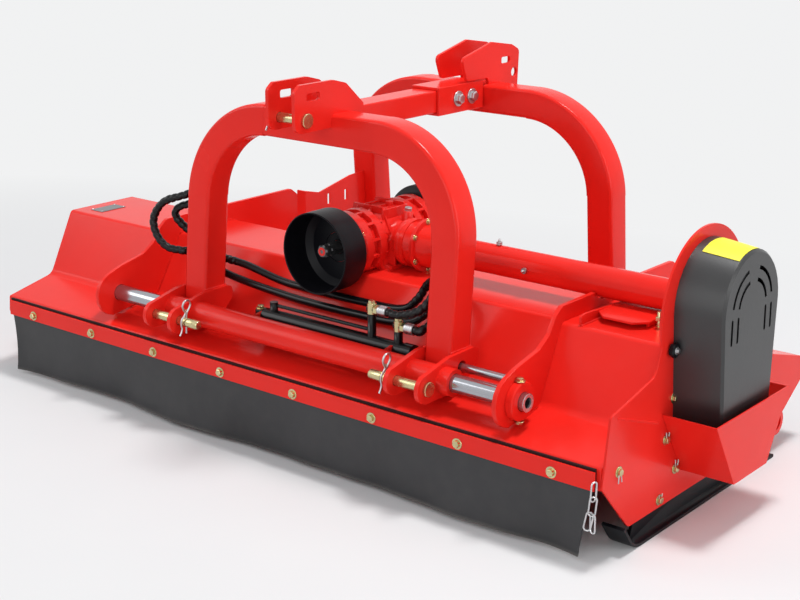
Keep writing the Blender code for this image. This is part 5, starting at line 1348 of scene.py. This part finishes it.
class Solids:
    """Gives each CAD node its finish, and redraws the rigid ones with broken edges and smooth bends."""

    def dress(self, frame: dict[str, Any]) -> None:
        """Assigns the finishes and redraws the solids.
        """
        slots = {entry["node"]: entry["material_slot"] for entry in frame["record"]["subparts"]}
        bodies = frame["record"]["behaviour"]["bodies"]
        riders = {node: body for body, nodes in bodies.items() for node in nodes}
        skins = {node: skin for nodes, skin in SKINS.items() for node in nodes}
        for name, node in frame["nodes"].items():
            finish = SPECIAL.get(name) or BY_SLOT[slots[name]]
            for entry in node.material_slots:
                entry.material = finish.material()
            if name not in REPLACED:
                piece = skins.get(name, Skin()).draw(name + "_skin", node, finish)
                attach(piece, riders[name])
                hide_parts(name)
                LOG.info("%s is redrawn", name)


# Studio


@dataclass
class Studio:
    """The camera at the photograph's place, the floor, the lamps and the world."""

    eye: tuple[float, float, float] = (2.5665, -2.5934, 1.4901)
    yaw: float = 39.097
    pitch: float = -13.647
    roll: float = 0.161
    lens: float = 68.3
    shift: float = -0.1
    backdrop: tuple[float, float, float, float] = (0.88, 0.885, 0.89, 1.0)
    floor: float = 0.76
    # Each lamp's name, place, target, side and power in watts.
    lamps: tuple[tuple[str, Point, Point, float, float], ...] = (
        ("key", (1.1, 0.7, 5.8), (0.1, 0, 0.3), 1.0, 225),
        ("fill", (1.6, -5.2, 2.2), (0.1, 0, 0.3), 3.5, 62),
        ("front", (-3.6, -3.0, 3.0), (0, 0, 0.3), 2.5, 52),
        ("side", (5.2, 0.4, 1.4), (0.9, 0, 0.4), 3.5, 92),
    )

    def camera(self) -> None:
        """Sets the camera."""
        data = bpy.data.cameras.new("camera")
        data.lens = self.lens
        data.shift_y = self.shift
        data.clip_end = 60
        holder = linked("camera", data)
        holder.location = place(*self.eye)
        turn = Matrix.Rotation(math.radians(self.yaw), 4, "Z")
        tilt = Matrix.Rotation(math.radians(90 + self.pitch), 4, "X")
        holder.rotation_euler = (turn @ tilt @ Matrix.Rotation(math.radians(self.roll), 4, "Z")).to_euler()
        bpy.context.scene.camera = holder

    def pale(self) -> bpy.types.Material:
        """Makes the floor's material, which fades into the backdrop away from the machine.

        Returns:
            The material.
        """
        mat = bpy.data.materials.new("pale floor")
        mat.use_nodes = True
        build, shown = Shading(mat.node_tree), self.floor
        bsdf = mat.node_tree.nodes["Principled BSDF"]
        spot = build.add("ShaderNodeTexCoord").outputs["Object"]
        noise = build.noise(spot, 3.0, 8.0)
        colour = build.mix(noise, (shown * 0.96, shown * 0.96, shown * 0.97, 1), (shown, shown, shown, 1))
        build.fill(bsdf, {"Base Color": colour, "Roughness": 0.8})
        kind = "ShaderNodeVectorMath"
        span = build.add(kind, {0: spot, 1: (0.55, 1.0, 1.0)}, operation="MULTIPLY").outputs[0]
        reach = build.add(kind, {0: span}, operation="LENGTH").outputs["Value"]
        away = build.add("ShaderNodeMapRange", {0: reach, 1: 0.55, 2: 2.2, 3: 0.0, 4: 1.0}).outputs[0]
        glow = build.add("ShaderNodeEmission", {"Color": self.backdrop})
        seen = build.maths("MULTIPLY", self.looked_at(build), away)
        blend = build.add("ShaderNodeMixShader", {0: seen, 1: bsdf.outputs[0], 2: glow.outputs[0]})
        build.tree.links.new(blend.outputs[0], mat.node_tree.nodes["Material Output"].inputs[0])
        return mat

    @staticmethod
    def looked_at(build: Shading) -> bpy.types.NodeSocket:
        """A number that is 1 where the camera, a reflection or a see-through surface looks, and 0 for light.

        Args:
            build: The builder of the tree that it goes into.

        Returns:
            The number's socket.
        """
        path = build.add("ShaderNodeLightPath").outputs
        clear = build.maths("MAXIMUM", path["Is Camera Ray"], path["Is Transmission Ray"])
        return build.maths("MAXIMUM", clear, path["Is Glossy Ray"])

    def stage(self) -> None:
        """Lays the floor."""
        bm = bmesh.new()
        bmesh.ops.create_grid(bm, x_segments=2, y_segments=2, size=14)
        mesh = bpy.data.meshes.new("floor")
        bm.to_mesh(mesh)
        bm.free()
        mesh.materials.append(self.pale())
        linked("floor", mesh)

    def hang(self) -> None:
        """Hangs the soft lamps."""
        for name, spot, target, size, power in self.lamps:
            data = bpy.data.lights.new(name, "AREA")
            data.size = size
            data.energy = power
            holder = linked(name, data)
            holder.location = spot
            holder.rotation_euler = (Vector(target) - Vector(spot)).to_track_quat("-Z", "Y").to_euler()

    def world(self) -> None:
        """Lights the scene evenly and shows a pale background behind the floor."""
        world = bpy.data.worlds.new("studio")
        bpy.context.scene.world = world
        world.use_nodes = True
        tree = world.node_tree
        build, lit = Shading(tree), tree.nodes["Background"]
        build.fill(lit, {"Color": (0.93, 0.95, 1.0, 1), "Strength": 0.40})
        seen = build.add("ShaderNodeBackground", {"Color": self.backdrop, "Strength": 1.0})
        mixed = {0: self.looked_at(build), 1: lit.outputs[0], 2: seen.outputs[0]}
        blend = build.add("ShaderNodeMixShader", mixed)
        tree.links.new(blend.outputs[0], tree.nodes["World Output"].inputs[0])

    def build(self) -> None:
        """Sets up the whole studio."""
        self.camera()
        self.stage()
        self.world()
        self.hang()
        bpy.context.scene.view_settings.view_transform = "Standard"


def main() -> None:
    """Builds the sub-assemblies in order. Each piece is reported as it is made."""
    logging.basicConfig(level=logging.INFO, format="%(message)s")
    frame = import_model()
    Studio().build()
    LOG.info("studio is up")
    Hydraulics().build()
    Solids().dress(frame)
    Flap().build()
    Hardware().build()
    Trim().build()


if __name__ == "__main__":
    main()
